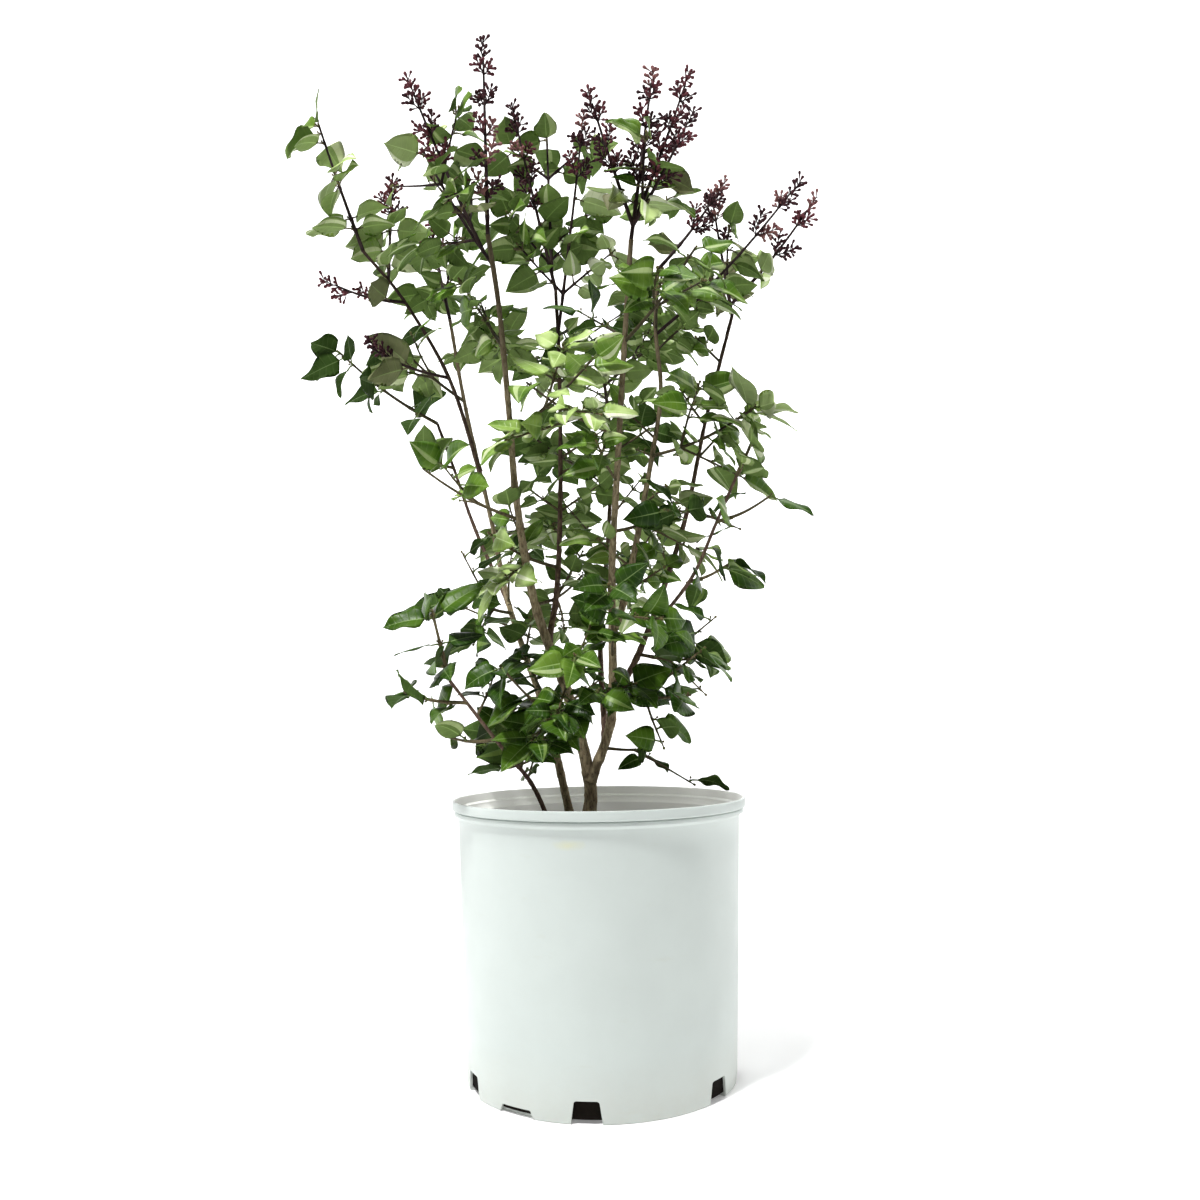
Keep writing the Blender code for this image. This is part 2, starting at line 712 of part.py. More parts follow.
def main():
    for old in list(bpy.data.objects):
        bpy.data.objects.remove(old)
    world = Space()
    world.add(shape_of(make_pot()))
    world.add(shape_of(make_soil()))
    stems = {}
    for name, (foot, tip, sides, parent, bends) in STEMS.items():
        stems[name] = Stem(foot, tip, sides, stems.get(parent), bends)
        smooth(add_object(name, stems[name].solid, "stem"), 60)
        world.add(stems[name].solid)
    named = [(name, stems[stem], height, shoots) for name, (stem, height, *shoots) in SHOOTS.items()]
    for number, (name, stem, height, shoots) in enumerate(named + list(crown_shoots(stems))):
        young = any(stem is stems[each] for each in YOUNG_STEMS)
        grow_mass(name, stem, height, shoots, world, random.Random(SEED + number), young)


main()
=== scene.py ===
"""The looks of a young lilac bush in bud, standing in its white nursery pot.

Metres, +Z up. +X is to the right and +Y runs away from someone who faces the bush.

The bush grows here by the rule that its solids grew by, with the same seeds: stems through a few bends,
shoots that leave them, opposite pairs of leaves or of twigs, and panicles of buds. What the rule places
is then drawn finely: stems with their bark, leaves with stalk, rib and veins, and every bud.
"""

import json
import random
from itertools import product
from math import cos, exp, floor, hypot, pi, radians, sin, sqrt, tan, tau

import bpy
import numpy as np
from mathutils import Matrix, Quaternion, Vector, noise
from mathutils.bvhtree import BVHTree

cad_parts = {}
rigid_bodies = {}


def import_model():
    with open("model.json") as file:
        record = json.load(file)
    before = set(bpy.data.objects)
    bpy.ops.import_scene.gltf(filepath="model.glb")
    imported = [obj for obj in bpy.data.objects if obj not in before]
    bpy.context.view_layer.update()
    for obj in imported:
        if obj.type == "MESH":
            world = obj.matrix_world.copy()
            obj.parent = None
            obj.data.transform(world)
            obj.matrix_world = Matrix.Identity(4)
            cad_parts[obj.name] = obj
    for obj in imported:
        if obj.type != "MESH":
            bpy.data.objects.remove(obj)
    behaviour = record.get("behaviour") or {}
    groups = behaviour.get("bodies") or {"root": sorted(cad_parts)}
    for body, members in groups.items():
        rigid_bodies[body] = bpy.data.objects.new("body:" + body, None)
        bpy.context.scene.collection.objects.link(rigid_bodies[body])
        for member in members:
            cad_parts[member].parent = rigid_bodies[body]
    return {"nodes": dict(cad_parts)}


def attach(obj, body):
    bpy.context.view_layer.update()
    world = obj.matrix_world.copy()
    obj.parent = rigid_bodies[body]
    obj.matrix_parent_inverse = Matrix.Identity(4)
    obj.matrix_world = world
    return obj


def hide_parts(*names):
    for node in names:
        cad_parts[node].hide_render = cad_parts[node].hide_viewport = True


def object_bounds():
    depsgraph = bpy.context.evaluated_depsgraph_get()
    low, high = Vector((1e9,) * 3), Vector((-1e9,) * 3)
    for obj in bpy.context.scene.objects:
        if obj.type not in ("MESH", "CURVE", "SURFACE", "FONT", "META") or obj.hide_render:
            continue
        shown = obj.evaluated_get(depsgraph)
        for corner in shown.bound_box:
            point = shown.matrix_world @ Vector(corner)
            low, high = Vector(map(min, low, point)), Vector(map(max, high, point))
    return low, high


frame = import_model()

CAD_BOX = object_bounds()
UP = Vector((0, 0, 1))
MM = 0.001
GAP = 0.0003
CELL = 0.03

# Camera, fitted to the pot's rim and foot in the photograph, which is taken as 1200 pixels square
IMAGE_SIDE = 1200
FOCAL_PIXELS = 1100
SENSOR_MM = 36
CAMERA_PLACE = Vector((0.0032, -0.8894, 0.2898))
CAMERA_PITCH = radians(5.28)
CAMERA_ROLL = 0.014

# The rule's sizes, as in the solids
SEED = 11
POT_HEIGHT = 0.214
SOIL_TOP = 0.1945
STEM_STEP = 0.028
TAPER = 1.2
FLARE = 1.35
FLARE_SHARE = 0.35
LEAF_LENGTH = 0.045
LEAF_WIDTH = 0.62
LEAF_WIDEST = 0.42
LEAF_THICKNESS = 0.0015
LEAF_RIDGE = 0.3
LEAF_DROOP = 0.12
LEAF_CUP = 0.06
LEAF_HANG = 0.30
LEAF_TILT = 0.55
LEAF_WANDER = 0.18
LEAF_TRIES = 4
LEAF_SPREAD = (0.85, 1.05)
END_ON = 0.9
NEAR_UPRIGHT = 0.3
LOWEST_LEAF = POT_HEIGHT + 0.010
INTERNODE = 0.035
SHOOT_RADIUS = 0.0017
SHOOT_STRETCHES = 4
SHOOT_SAG = 0.06
SHOOT_TRIES = 16
SHOOT_TURN = 3.5
SHOOT_END = 0.97
NODE_SHARE = 0.75
NODE_AHEAD = 0.55
TWIG_AHEAD = 0.3
FACE_AHEAD = 0.4
END_SPREAD = 0.7
END_LEAF = 0.8
FORK_SHARE = 0.09
TWIG_LENGTH = 0.052
TWIG_RADIUS = 0.0011
TWIG_TIP_RADIUS = 0.0009
TWIG_SIDES = 3
TWIG_PAIRS = (0.5, 0.94)
TWIG_TWIST = 0.7
TWIG_SPREAD = 0.1
TWIG_LEAVES = (0.8, 1.02)
TWIG_REACH = (0.8, 1.1)
ROOT = 0.003
MARGIN = 0.0004
BUD_STEP = 0.0125
BUD_CLUSTER = 0.019
BUD_FOOT = 1.35
BUD_TIP = 0.6
BUD_WIDTH = 0.40
BUD_WAIST = 0.6
BUD_AHEAD = 0.9
BUD_WANDER = 0.12
FIRST_BUD = 0.3

# Stems, in millimetres: radius at the foot and at the tip, sides, the stem it leaves, and its bends from
# foot to tip
STEMS = {
    "trunk": (5.6, 1.9, 8, None, ((-9, 0, 194.5), (-7, 0, 226), (-22, -10, 291), (-48, -20, 366),
                                  (-61, -35, 445), (-66, -50, 520), (-72, -60, 595), (-80, -65, 652))),
    "centre_stem": (4.2, 1.9, 7, "trunk", ((-7, 0, 226), (6, -4, 258), (12, -10, 291), (13, -30, 393),
                                           (17, -45, 454), (22, -60, 527), (31, -70, 644))),
    "inner_stem": (2.6, 1.5, 6, "trunk", ((-38, -16, 337), (-32, 5, 381), (-29, 22, 455), (-29, 40, 570),
                                          (-32, 50, 651))),
    "right_stem": (3.0, 1.6, 6, "centre_stem", ((13, -21, 345), (24, -10, 376), (48, 10, 492),
                                                (57, 20, 550), (54, 25, 605), (57, 30, 660))),
    "second_trunk": (3.6, 1.6, 7, None, ((-22, 20, 194.5), (-42, 32, 275), (-75, 55, 373), (-92, 70, 452),
                                         (-115, 80, 553), (-130, 85, 638))),
    "low_left_stem": (2.0, 1.2, 5, None, ((-36, -22, 194.5), (-51, -34, 227), (-74, -50, 258),
                                          (-110, -65, 307))),
    "upper_left_stem": (2.0, 1.3, 5, "second_trunk", ((-103, 74, 495), (-126, 50, 573), (-163, 35, 638),
                                                      (-195, 20, 676))),
    "thin_left_stem": (1.8, 1.3, 5, "second_trunk", ((-75, 55, 373), (-107, 80, 444), (-128, 100, 502),
                                                     (-145, 110, 548))),
    "right_arm_stem": (2.8, 1.5, 6, "centre_stem", ((12, -10, 291), (36, 0, 333), (73, 25, 432),
                                                    (96, 35, 529), (122, 45, 624))),
    "thin_right_stem": (1.7, 1.2, 5, "right_arm_stem", ((41, 2, 342), (75, -25, 385), (95, -40, 428),
                                                        (110, -50, 462))),
    "back_stem": (2.6, 1.5, 6, "centre_stem", ((6, -4, 258), (3, 50, 342), (11, 85, 434), (15, 110, 531),
                                               (5, 130, 632))),
}

# Shoots: the stem, the height in millimetres where they leave it, and for each its bearing and rise in
# degrees, and its reach and the length of the panicle at its end in millimetres
SHOOTS = {
    "tall_panicle": ("trunk", 660, (-119, 88, 145, 125)),
    "top_left_sprays": ("trunk", 628, (154, 59, 124, 0), (-164, 66, 135, 70)),
    "inner_top_sprays": ("inner_stem", 660, (-154, 76, 155, 90), (106, 84, 135, 0)),
    "small_panicle": ("inner_stem", 609, (-45, 76, 170, 50)),
    "crown_panicles": ("centre_stem", 650, (0, 82, 128, 90), (-167, 72, 100, 65), (30, 68, 140, 80),
                       (-25, 57, 85, 60)),
    "right_panicle": ("right_stem", 666, (0, 52, 88, 50)),
    "fork_panicles": ("right_arm_stem", 630, (161, 82, 105, 50), (-20, 47, 106, 60)),
    "far_panicle": ("right_stem", 601, (-22, 41, 157, 55)),
    "right_arm": ("right_stem", 492, (-30, 17, 95, 0)),
    "thin_right_tip": ("thin_right_stem", 468, (0, 65, 34, 0)),
    "thin_right_side": ("thin_right_stem", 428, (-32, 19, 45, 0)),
    "right_drop": ("thin_right_stem", 382, (-24, 21, 34, 0)),
    "right_inner": ("right_arm_stem", 455, (-74, -20, 60, 0)),
    "low_right": ("right_arm_stem", 327, (-14, -2, 58, 0)),
    "low_right_front": ("centre_stem", 300, (-40, -4, 77, 0)),
    "low_right_twig": ("centre_stem", 252, (-24, 6, 60, 0)),
    "low_left_front": ("trunk", 263, (-129, 31, 98, 0)),
    "low_front": ("trunk", 291, (-72, 5, 70, 0)),
    "low_left_back": ("second_trunk", 255, (138, -20, 60, 0)),
    "foot_left_tip": ("low_left_stem", 311, (180, 76, 55, 0)),
    "foot_left_arm": ("low_left_stem", 290, (-171, 12, 50, 0)),
    "foot_left_low": ("low_left_stem", 262, (144, 4, 55, 0)),
    "left_mid_low": ("second_trunk", 366, (-121, 12, 62, 0)),
    "left_arm": ("thin_left_stem", 552, (-171, 36, 112, 0)),
    "left_small_panicle": ("upper_left_stem", 573, (-153, 15, 72, 30)),
    "left_side": ("thin_left_stem", 504, (-167, 19, 45, 0)),
    "upper_left_tip": ("upper_left_stem", 680, (180, 71, 122, 0)),
    "upper_left_inner": ("upper_left_stem", 654, (96, 72, 101, 40)),
    "left_panicle": ("upper_left_stem", 636, (-164, 10, 58, 45)),
    "upper_left_back": ("second_trunk", 642, (132, 72, 102, 40)),
}

# Stems so young that their shoots have leaves only, and no twigs
YOUNG_STEMS = ("low_left_stem", "upper_left_stem", "thin_left_stem", "thin_right_stem")

# Shoots that fill the crown: the heights of a stem's lowest and highest in millimetres, how many, and the
# lowest's bearing
CROWN = {
    "trunk": (300, 565, 5, -80),
    "centre_stem": (350, 565, 4, -92),
    "inner_stem": (400, 565, 3, -130),
    "back_stem": (395, 585, 3, 60),
    "second_trunk": (440, 560, 2, 60),
}
CROWN_TURN = 137.5
CROWN_REACH = 0.085
CROWN_RISE = (15, 40)

# How leaves turn to the light
CROWN_MIDDLE = Vector((-0.025, 0.0, 0))
NEAR_MIDDLE = 0.07
DROOP = (-0.30, 0.35)
DROOP_OUTWARD = 0.35
DROOP_SPREAD = (0.5, 1.2)
KEPT_RISE = 0.7
LIGHT_ABOVE = 0.52
LIGHT_OUTSIDE = 0.95
LIGHT_SCATTER = 0.36
LIGHT_TRIES = (1.0, 0.8, 0.6, 0.4, 0.2)

# Finer growth: small pairs of leaves on the twigs, and on the shoots of leafy arms
PAIR_AHEAD = 0.55
PAIR_WANDER = 0.3
PAIR_TURN = 0.2
PAIR_LIGHT = 0.9
FILL_SHARES = (0.22, 0.70, 0.98)
FILL_LEAVES = (0.026, 0.039)
ARM_LEAVES = (0.032, 0.044)
ARM_PAIRS = 3
LEAFY_ARMS = ("right_arm", "low_right", "low_right_front")

# Short leafy twigs on the stems, in millimetres: the lowest, the highest and the step between them
SPURS = {
    "trunk": (290, 645, 24),
    "centre_stem": (280, 640, 23),
    "inner_stem": (360, 645, 22),
    "right_stem": (360, 650, 19),
    "right_arm_stem": (400, 600, 29),
    "second_trunk": (305, 630, 28),
    "low_left_stem": (226, 307, 11),
    "back_stem": (360, 620, 30),
}
SPUR_RISE = (0.40, 1.05)
SPUR_LENGTH = (0.022, 0.062)
SPUR_SHARES = (0.40, 0.72, 0.98)
SPUR_LEAVES = (0.026, 0.040)
SPUR_GAP = 0.0010
SPUR_TURN = radians(CROWN_TURN) / 1.6
SPUR_SPREAD = (0.8, 1.2)

# Openings where the sky shows through the crown from the front, as circles in the plane y = 0: x, z and
# radius in millimetres
SKY = (
    (-164, 465, 31), (151, 421, 26), (-152, 266, 21), (-112, 406, 18), (93, 272, 14), (-173, 517, 16),
    (92, 350, 13), (-178, 605, 15), (-132, 469, 13), (-25, 363, 10), (82, 782, 13), (72, 250, 13),
    (-122, 438, 13), (37, 278, 9), (-153, 721, 10), (5, 614, 10), (-23, 759, 10), (127, 466, 10),
    (-21, 720, 8), (98, 483, 10), (-18, 463, 8), (-81, 702, 8), (90, 680, 10), (108, 426, 10),
    (-204, 765, 12), (-184, 725, 11), (146, 469, 19), (-183, 295, 13), (-124, 351, 11), (89, 784, 16),
    (143, 678, 11), (123, 429, 13), (-119, 248, 13), (-4, 798, 16), (106, 384, 10), (108, 277, 16),
    (112, 359, 20), (113, 555, 10), (-125, 420, 14), (158, 497, 10), (98, 481, 11), (104, 303, 10),
    (84, 300, 8), (-151, 542, 8),
)
SKY_EDGE = 0.005
LEAF_MIDDLE = 0.6

# Fine leaves
STALK = 0.006
STALK_SPREAD = (0.8, 1.3)
LONGEST_STALK = 0.22
STALK_RADIUS = 0.00075
STALK_BOW = 0.12
STALK_TAPER = (1.25, 1.0, 0.8)
STALK_SIDES = 5
STALK_INSIDE = 0.002
AXIL = 0.0016
BLADE_ROWS = 13
BLADE_CROWDING = 0.92
BLADE_SHARE = 0.93
ARM_BLADE_SHARE = 1.06
BLADE_COLUMNS = (-1.0, -0.68, -0.34, -0.0, 0.0, 0.34, 0.68, 1.0)
BLADE_WIDTH = (0.60, 0.78)
BLADE_OUTLINE = (0.5, 1.15)
BLADE_WIDEST = 0.3635
BLADE_BEND = (0.15, 0.85)
BLADE_FOLD = (0.10, 0.52)
BLADE_TWIST = 0.45
BLADE_WAVE = (0.018, 0.056)
BLADE_WAVES = (0.9, 1.9)
BLADE_SWEEP = 0.09
BLADE_ARCH = 0.25
BLADE_LOBE = 0.045
LOBE_LENGTH = 0.09
BLADE_THICK = 0.00012
VEIN_DEPTH = 0.0045
RIB_WIDTH = 0.0005
CURLED_FOLD = 1.6
CURLED_WIDTH = 0.72
LOWEST_BLADE = POT_HEIGHT + 0.003

# A blade's materials, and the columns of its faces that a pale band, a painted sheen, takes
TOP, UNDER, RIB, PAINTED_SHEEN = range(4)
BANDS = ((0,), (6,), (0, 1), (5, 6), (1,), (5,), (2,), (4,))

# Fine twigs
FINE_STEP = 0.0035
SHOOT_SIDES = 9
FINE_TWIG_SIDES = 7
SHOOT_TIP = 0.72
TWIG_FOOT = 1.1
TWIG_TIP = 0.62
TWIG_BOW = 0.03
NODE_SWELL = 0.30
NODE_LENGTH = 0.0022
ON_PATH = 0.0030
SHORTEST_PATH = 4

# Materials of the twigs' pieces and of the panicles
TWIG, GREEN_STALK, SCALE = range(3)
PANICLE_STALK = 3

# Buds: a profile of (share of the length, share of the radius), and sizes in metres
BUD_PROFILE = ((0.0, 0.38), (0.40, 0.52), (0.66, 0.94), (0.85, 1.0), (0.97, 0.60))
BUD_SIDES = 6
BUD_RADIUS = (0.0011, 0.0015)
BUD_LENGTH = (0.0046, 0.0072)
BUD_STALK = (0.0015, 0.0034)
BUD_STALK_RADII = (0.0004, 0.00033)
BUD_STALK_SIDES = 4
BUD_NODE = 0.8
BUD_OPEN = 0.75
BUD_SCATTER = 0.2
BUD_INSIDE = 0.0002
TIP_BUD_INSIDE = 0.0003
BUD_TONES = (0, 0, 0, 1, 2, 2, 2)
BUD_SPACING = 0.0036
FORKED_BUDS = 0.75
FORKED_SIZE = 0.9
FORKED_AHEAD = 0.7
FORKED_ASIDE = 0.6
AXIL_BUD = (0.0030, 0.0009)
TIP_BUD = (0.0042, 0.0011)
BRANCH_REACH = 0.80
BRANCH_BOW = 0.08
BRANCH_RADII = (0.00062, 0.00051, 0.00040)
BRANCH_SIDES = 5
BRANCH_UPRIGHT = 0.50
SPARSE_PANICLES = {"left_small_panicle": 3, "left_panicle": 2}

# Tones of the leaves in thousandths: the top's two colours, the underside's and the pale band's (a painted
# sheen), and then what share of the leaves has a band
# Besides the leaves' own colours, the tones stand in for light and shade: deep and dark partly for painted
# shade, bright partly for painted light, light partly for painted highlights
TONES = {
    "deep": ((9, 37, 1), (32, 84, 4), (50, 100, 20), (70, 140, 18), 0.1),
    "dark": ((22, 67, 2), (65, 140, 8), (86, 154, 35), (210, 320, 75), 0.35),
    "mid": ((50, 120, 7), (140, 245, 30), (150, 230, 65), (440, 550, 240), 0.65),
    "bright": ((100, 205, 18), (255, 385, 80), (240, 335, 115), (660, 740, 430), 0.75),
    "light": ((210, 335, 55), (480, 610, 240), (380, 490, 220), (840, 890, 650), 0.8),
    "flush": ((80, 110, 25), (130, 175, 40), (190, 205, 100), (400, 390, 220), 0.7),
}

# Which tones a mass's sprays draw from: darker low down and on the dark arms, paler higher up, partly painted
# shade and painted light
LOW_PALETTE = ("deep", "deep", "dark", "dark", "mid")
ARM_PALETTE = ("deep", "deep", "dark", "dark")
MIDDLE_PALETTE = ("deep", "dark", "mid", "mid", "bright", "bright", "light")
UPPER_PALETTE = ("dark", "mid", "mid", "bright", "bright", "light")
TIP_PALETTE = ("mid", "flush", "bright", "light")
DARK_ARMS = ("left_arm", "right_drop", "left_mid_low")
LOW_CROWN = 0.365
HIGH_CROWN = 0.62
CURLED_MASS = "upper_left_tip"
CURLED_ABOVE = 0.775

# Barks in thousandths: two browns and the specks', and then the roughness
BARKS = {
    "bark_tan": ((190, 145, 85), (420, 345, 215), (50, 34, 24), 0.75),
    "bark_thin": ((85, 50, 40), (190, 130, 90), (30, 18, 18), 0.75),
    "twig_brown": ((85, 75, 38), (155, 120, 65), (40, 28, 20), 0.6),
    "twig_purple": ((50, 28, 28), (105, 58, 52), (22, 12, 14), 0.55),
    "panicle_stalk": ((40, 16, 22), (90, 40, 45), (20, 10, 12), 0.6),
}
TAN_STEMS = ("trunk", "centre_stem", "right_stem", "second_trunk")
BARK_STEP = 0.0022
BARK_SIDES = 22
FINE_TAPER = 1.75
COLLAR = 0.35
COLLAR_LENGTH = 0.010
STEM_NODES = 0.034
STEM_SWELL = 0.16
FIRST_NODE = 0.03
FOOT_DEPTH = 0.004
THIN_STEM = 0.003
RIDGE_DEPTH = 0.00022
PORE_HEIGHT = 0.00028
PORE_LEVEL = 0.42
LUMP_HEIGHT = 0.0003

# Pot
RIM_RADIUS = 0.116
RIM_BAND = 0.008
BEAD_RADIUS = 0.1143
BEAD_HEIGHT = 0.0035
EDGE_RADIUS = 0.0009
WALL_TOP_RADIUS = 0.111
WALL_FOOT_RADIUS = 0.1045
WALL_ROWS = 12
FOOT_CHAMFER = 0.0015
WALL = 0.002
FLOOR = 0.0025
POT_SIDES = 180
SHARP_ANGLE = radians(38)
NOTCH_TURN = radians(-96)
NOTCH_SHOULDER = 0.8
NOTCH_CORNER = 0.0022
STAIN_PLACE = (-0.0215, -0.112, 0.190)
STAIN_STRETCH = (90, 30, 260)

# Notches in the pot's foot: how many, the first one's place among them, width, height and reach inwards
NOTCHES = ((6, 0, 0.023, 0.016, 0.013), (3, -0.25, 0.034, 0.006, 0.0045))

# Soil
SOIL_RINGS = 44
SOIL_SIDES = 120
SOIL_RADIUS = 0.1083
SOIL_CLEAR = 0.0006
CHIPS = 1500
GRAINS = 90
CHIP_SIDES = 6
CHIP_SPREAD = 0.975
CHIP_TILT = 0.30
CHIP_LENGTH = (0.003, 0.0085)
CHIP_WIDTH = (0.35, 0.75)
CHIP_THICKNESS = (0.0008, 0.0020)
CHIP_EDGE = 0.25
CHIP_CORNERS = (0.75, 1.0)
GRAIN_LENGTH = (0.0015, 0.0024)
GRAIN_WIDTH = 0.9
GRAIN_THICKNESS = 0.8

# The soil's surface: how far it lies below its top, its lumps by scale, layer and height, and the mound's
# place, height and spread
SOIL_BELOW = 0.0042
SOIL_LUMPS = ((55, 0, 0.0016), (160, 3, 0.0008))
SOIL_MOUND = (-0.012, 0.0025, 0.0016)

# Stage: width, the floor's front edge, and the backdrop's place, height and curve
STAGE_WIDTH = 4.0
STAGE_FRONT = -1.6
STAGE_BACK = 1.8
STAGE_HEIGHT = 3.0
STAGE_CURVE = 0.8
STAGE_STEPS = 16

# Lights: place, size and power, all turned to the bush's middle, and the light from all round
LIGHTS = {
    "key": ((-0.6, -0.9, 2.4), (0.25, 0.25), 74),
    "left_side": ((-1.6, 0.3, 0.6), (0.6, 1.2), 9),
    "right_side": ((1.6, 0.3, 0.6), (0.6, 1.2), 9),
    "top": ((0.2, 0.3, 2.2), (0.9, 0.9), 10),
}
LIT_PLACE = Vector((0, 0, 0.45))
WORLD_LIGHT = 0.14


def thousandths(values):
    """Metres from millimetres, or a colour from thousandths."""
    return tuple(value / 1000 for value in values)


def scatter(rng, most):
    """A small random step."""
    return Vector([rng.uniform(-most, most) for _ in range(3)])


class Space:
    """Shapes that a new piece has to stay clear of, kept by the cells of space that they reach into."""

    def __init__(self):
        self.cells = {}

    def reach(self, points):
        """A shape's lowest and highest corners, and the cells between them."""
        low = [min(p[axis] for p in points) for axis in range(3)]
        high = [max(p[axis] for p in points) for axis in range(3)]
        return low, high, product(*(range(floor(a / CELL), floor(b / CELL) + 1) for a, b in zip(low, high)))

    def add(self, shape):
        low, high, cells = self.reach(shape[0])
        entry = (BVHTree.FromPolygons(*shape), low, high)
        for cell in cells:
            self.cells.setdefault(cell, []).append(entry)

    def touches(self, *shapes):
        for shape in shapes:
            low, high, cells = self.reach(shape[0])
            tree = BVHTree.FromPolygons(*shape)
            near = {id(entry): entry for cell in cells for entry in self.cells.get(cell, ())}
            for other, other_low, other_high in near.values():
                apart = any(other_low[k] > high[k] or other_high[k] < low[k] for k in range(3))
                if not apart and tree.overlap(other):
                    return True
        return False


def pot_space():
    """A space with the pot and its soil in it."""
    space = Space()
    for name in ("pot", "soil"):
        mesh = frame["nodes"][name].data
        space.add(([v.co.copy() for v in mesh.vertices], [list(p.vertices) for p in mesh.polygons]))
    return space


def inside_box(points):
    """Whether points keep within the solids' box."""
    low, high = CAD_BOX
    points = np.asarray(points)
    return (points > np.array(low)).all() and (points < np.array(high)).all()


def spline_point(bends, place):
    """A point of the smooth curve through the bends. place runs from 0 to the number of stretches."""
    stretch = min(int(place), len(bends) - 2)
    share = place - stretch
    a, b = bends[stretch], bends[stretch + 1]
    before = bends[stretch - 1] if stretch else a * 2 - b
    after = bends[stretch + 2] if stretch + 2 < len(bends) else b * 2 - a
    return 0.5 * (
        2 * a
        + (b - before) * share
        + (2 * before - 5 * a + 4 * b - after) * share ** 2
        + (3 * a - before - 3 * b + after) * share ** 3
    )


def length_of(route):
    return sum((b - a).length for a, b in zip(route, route[1:]))


def route_through(bends, step):
    """Points of the smooth curve through the bends, about a step apart."""
    count = max(2, round(length_of(bends) / step))
    return [spline_point(bends, (len(bends) - 1) * k / count) for k in range(count + 1)]


def place_on(route, share):
    """The point and direction at a share of a route's length."""
    left = share * length_of(route)
    for a, b in zip(route, route[1:]):
        stretch = (b - a).length
        if left <= stretch:
            return a.lerp(b, left / stretch), (b - a).normalized()
        left -= stretch
    return route[-1], (route[-1] - route[-2]).normalized()


def tube(route, radii, sides, cut_by=None):
    """A tapering tube along a route. Its first ring lies in the plane cut_by, a point and a normal."""
    points = []
    across = None
    for k, centre in enumerate(route):
        along = (route[min(k + 1, len(route) - 1)] - route[max(k - 1, 0)]).normalized()
        if across is None:
            across = along.orthogonal().normalized()
        across = (across - along * across.dot(along)).normalized()
        other = along.cross(across)
        for side in range(sides):
            turn = tau * side / sides
            point = centre + radii[k] * (cos(turn) * across + sin(turn) * other)
            if k == 0 and cut_by:
                place, normal = cut_by
                point += along * ((place - point).dot(normal) / along.dot(normal))
            points.append(point)
    faces = [list(range(sides - 1, -1, -1)), list(range(len(points) - sides, len(points)))]
    for start in range(0, len(points) - sides, sides):
        for side in range(sides):
            a, b = start + side, start + (side + 1) % sides
            faces.append([a, b, b + sides, a + sides])
    return points, faces


def twig_room(root, ahead, length, start=ROOT):
    """The room of a straight twig, from a little way off what carries it."""
    return tube([root + ahead * start, root + ahead * length], [TWIG_RADIUS] * 2, TWIG_SIDES)


class Stem:
    """A tapering stem: its route, and its radius at each point of it."""

    def __init__(self, foot_radius, tip_radius, sides, parent, bends):
        self.bends = [Vector(thousandths(bend)) for bend in bends]
        self.foot_radius, self.tip_radius = thousandths((foot_radius, tip_radius))
        self.parent = parent
        self.route = route_through(self.bends, STEM_STEP)
        last = len(self.route) - 1
        slimming = self.foot_radius - self.tip_radius
        self.radii = [self.tip_radius + slimming * (1 - k / last) ** TAPER for k in range(last + 1)]
        foot = self.leave(parent) if parent else self.stand_on_soil()
        self.solid = tube(self.route, self.radii, sides, foot)

    def stand_on_soil(self):
        """Adds the flare at the foot, and returns the level plane that the foot is cut by."""
        self.route[0] = self.route[0] + UP * GAP
        self.route.insert(1, self.route[0].lerp(self.route[1], FLARE_SHARE))
        self.radii.insert(0, self.radii[0] * FLARE)
        return self.route[0], UP

    def leave(self, parent):
        """Starts the stem on its parent's side, and returns the plane that the foot is cut by."""
        point, along, radius, _ = parent.at_height(self.route[0].z)
        self.route[0], foot = side_start(point, along, radius, self.route[1] - point)
        return foot

    def at_height(self, height):
        """Where the stem passes a height: the point, direction and radius, and whether it is the tip."""
        for k, (low, high) in enumerate(zip(self.route, self.route[1:])):
            if low.z <= height < high.z:
                share = (height - low.z) / (high.z - low.z)
                radius = self.radii[k] + (self.radii[k + 1] - self.radii[k]) * share
                return low.lerp(high, share), (high - low).normalized(), radius, False
        return self.route[-1], (self.route[-1] - self.route[-2]).normalized(), self.radii[-1], True


def side_start(point, along, radius, towards):
    """Where something that heads towards a place leaves a stem's side, and the plane that it is cut by."""
    outward = (towards - along * towards.dot(along)).normalized()
    place = point + outward * (radius + GAP)
    ahead = towards.normalized()
    return point + ahead * ((place - point).dot(outward) / ahead.dot(outward)), (place, outward)


def direction(bearing, rise):
    """The unit direction of a bearing from +X towards +Y and a rise above level, in degrees."""
    bearing, rise = radians(bearing), radians(rise)
    return Vector((cos(rise) * cos(bearing), cos(rise) * sin(bearing), sin(rise)))


def shoot_route(start, bearing, rise, reach):
    """A shoot that leaves flatter than it ends, as shoots turn up to the light."""
    end = start + direction(bearing, rise) * reach
    sag = SHOOT_SAG * reach * cos(radians(rise))
    shares = [k / SHOOT_STRETCHES for k in range(SHOOT_STRETCHES + 1)]
    return [start.lerp(end, share) - UP * sag * sin(pi * share) for share in shares]


def plain_leaf(root, ahead, face, length, grown=0.0):
    """The blade of six faces that keeps a leaf's place. grown makes it that much larger all round."""
    side = ahead.cross(face).normalized()
    face = side.cross(ahead)
    half = length * LEAF_WIDTH / 2 + grown
    widest = root + ahead * length * LEAF_WIDEST + face * (length * LEAF_CUP - grown)
    tip = root + ahead * (length + grown) - face * length * LEAF_DROOP
    ridge = root + ahead * length * LEAF_RIDGE + face * (LEAF_THICKNESS + grown)
    points = [root - face * grown, widest + side * half, tip, widest - side * half, ridge]
    return points, [[0, 1, 4], [1, 2, 4], [2, 3, 4], [3, 0, 4], [0, 2, 1], [0, 3, 2]]


def leaf_room(root, heading, face, length):
    """The room of a leaf, a little way from its twig."""
    return plain_leaf(root + heading * ROOT, heading, face, length - ROOT, MARGIN)


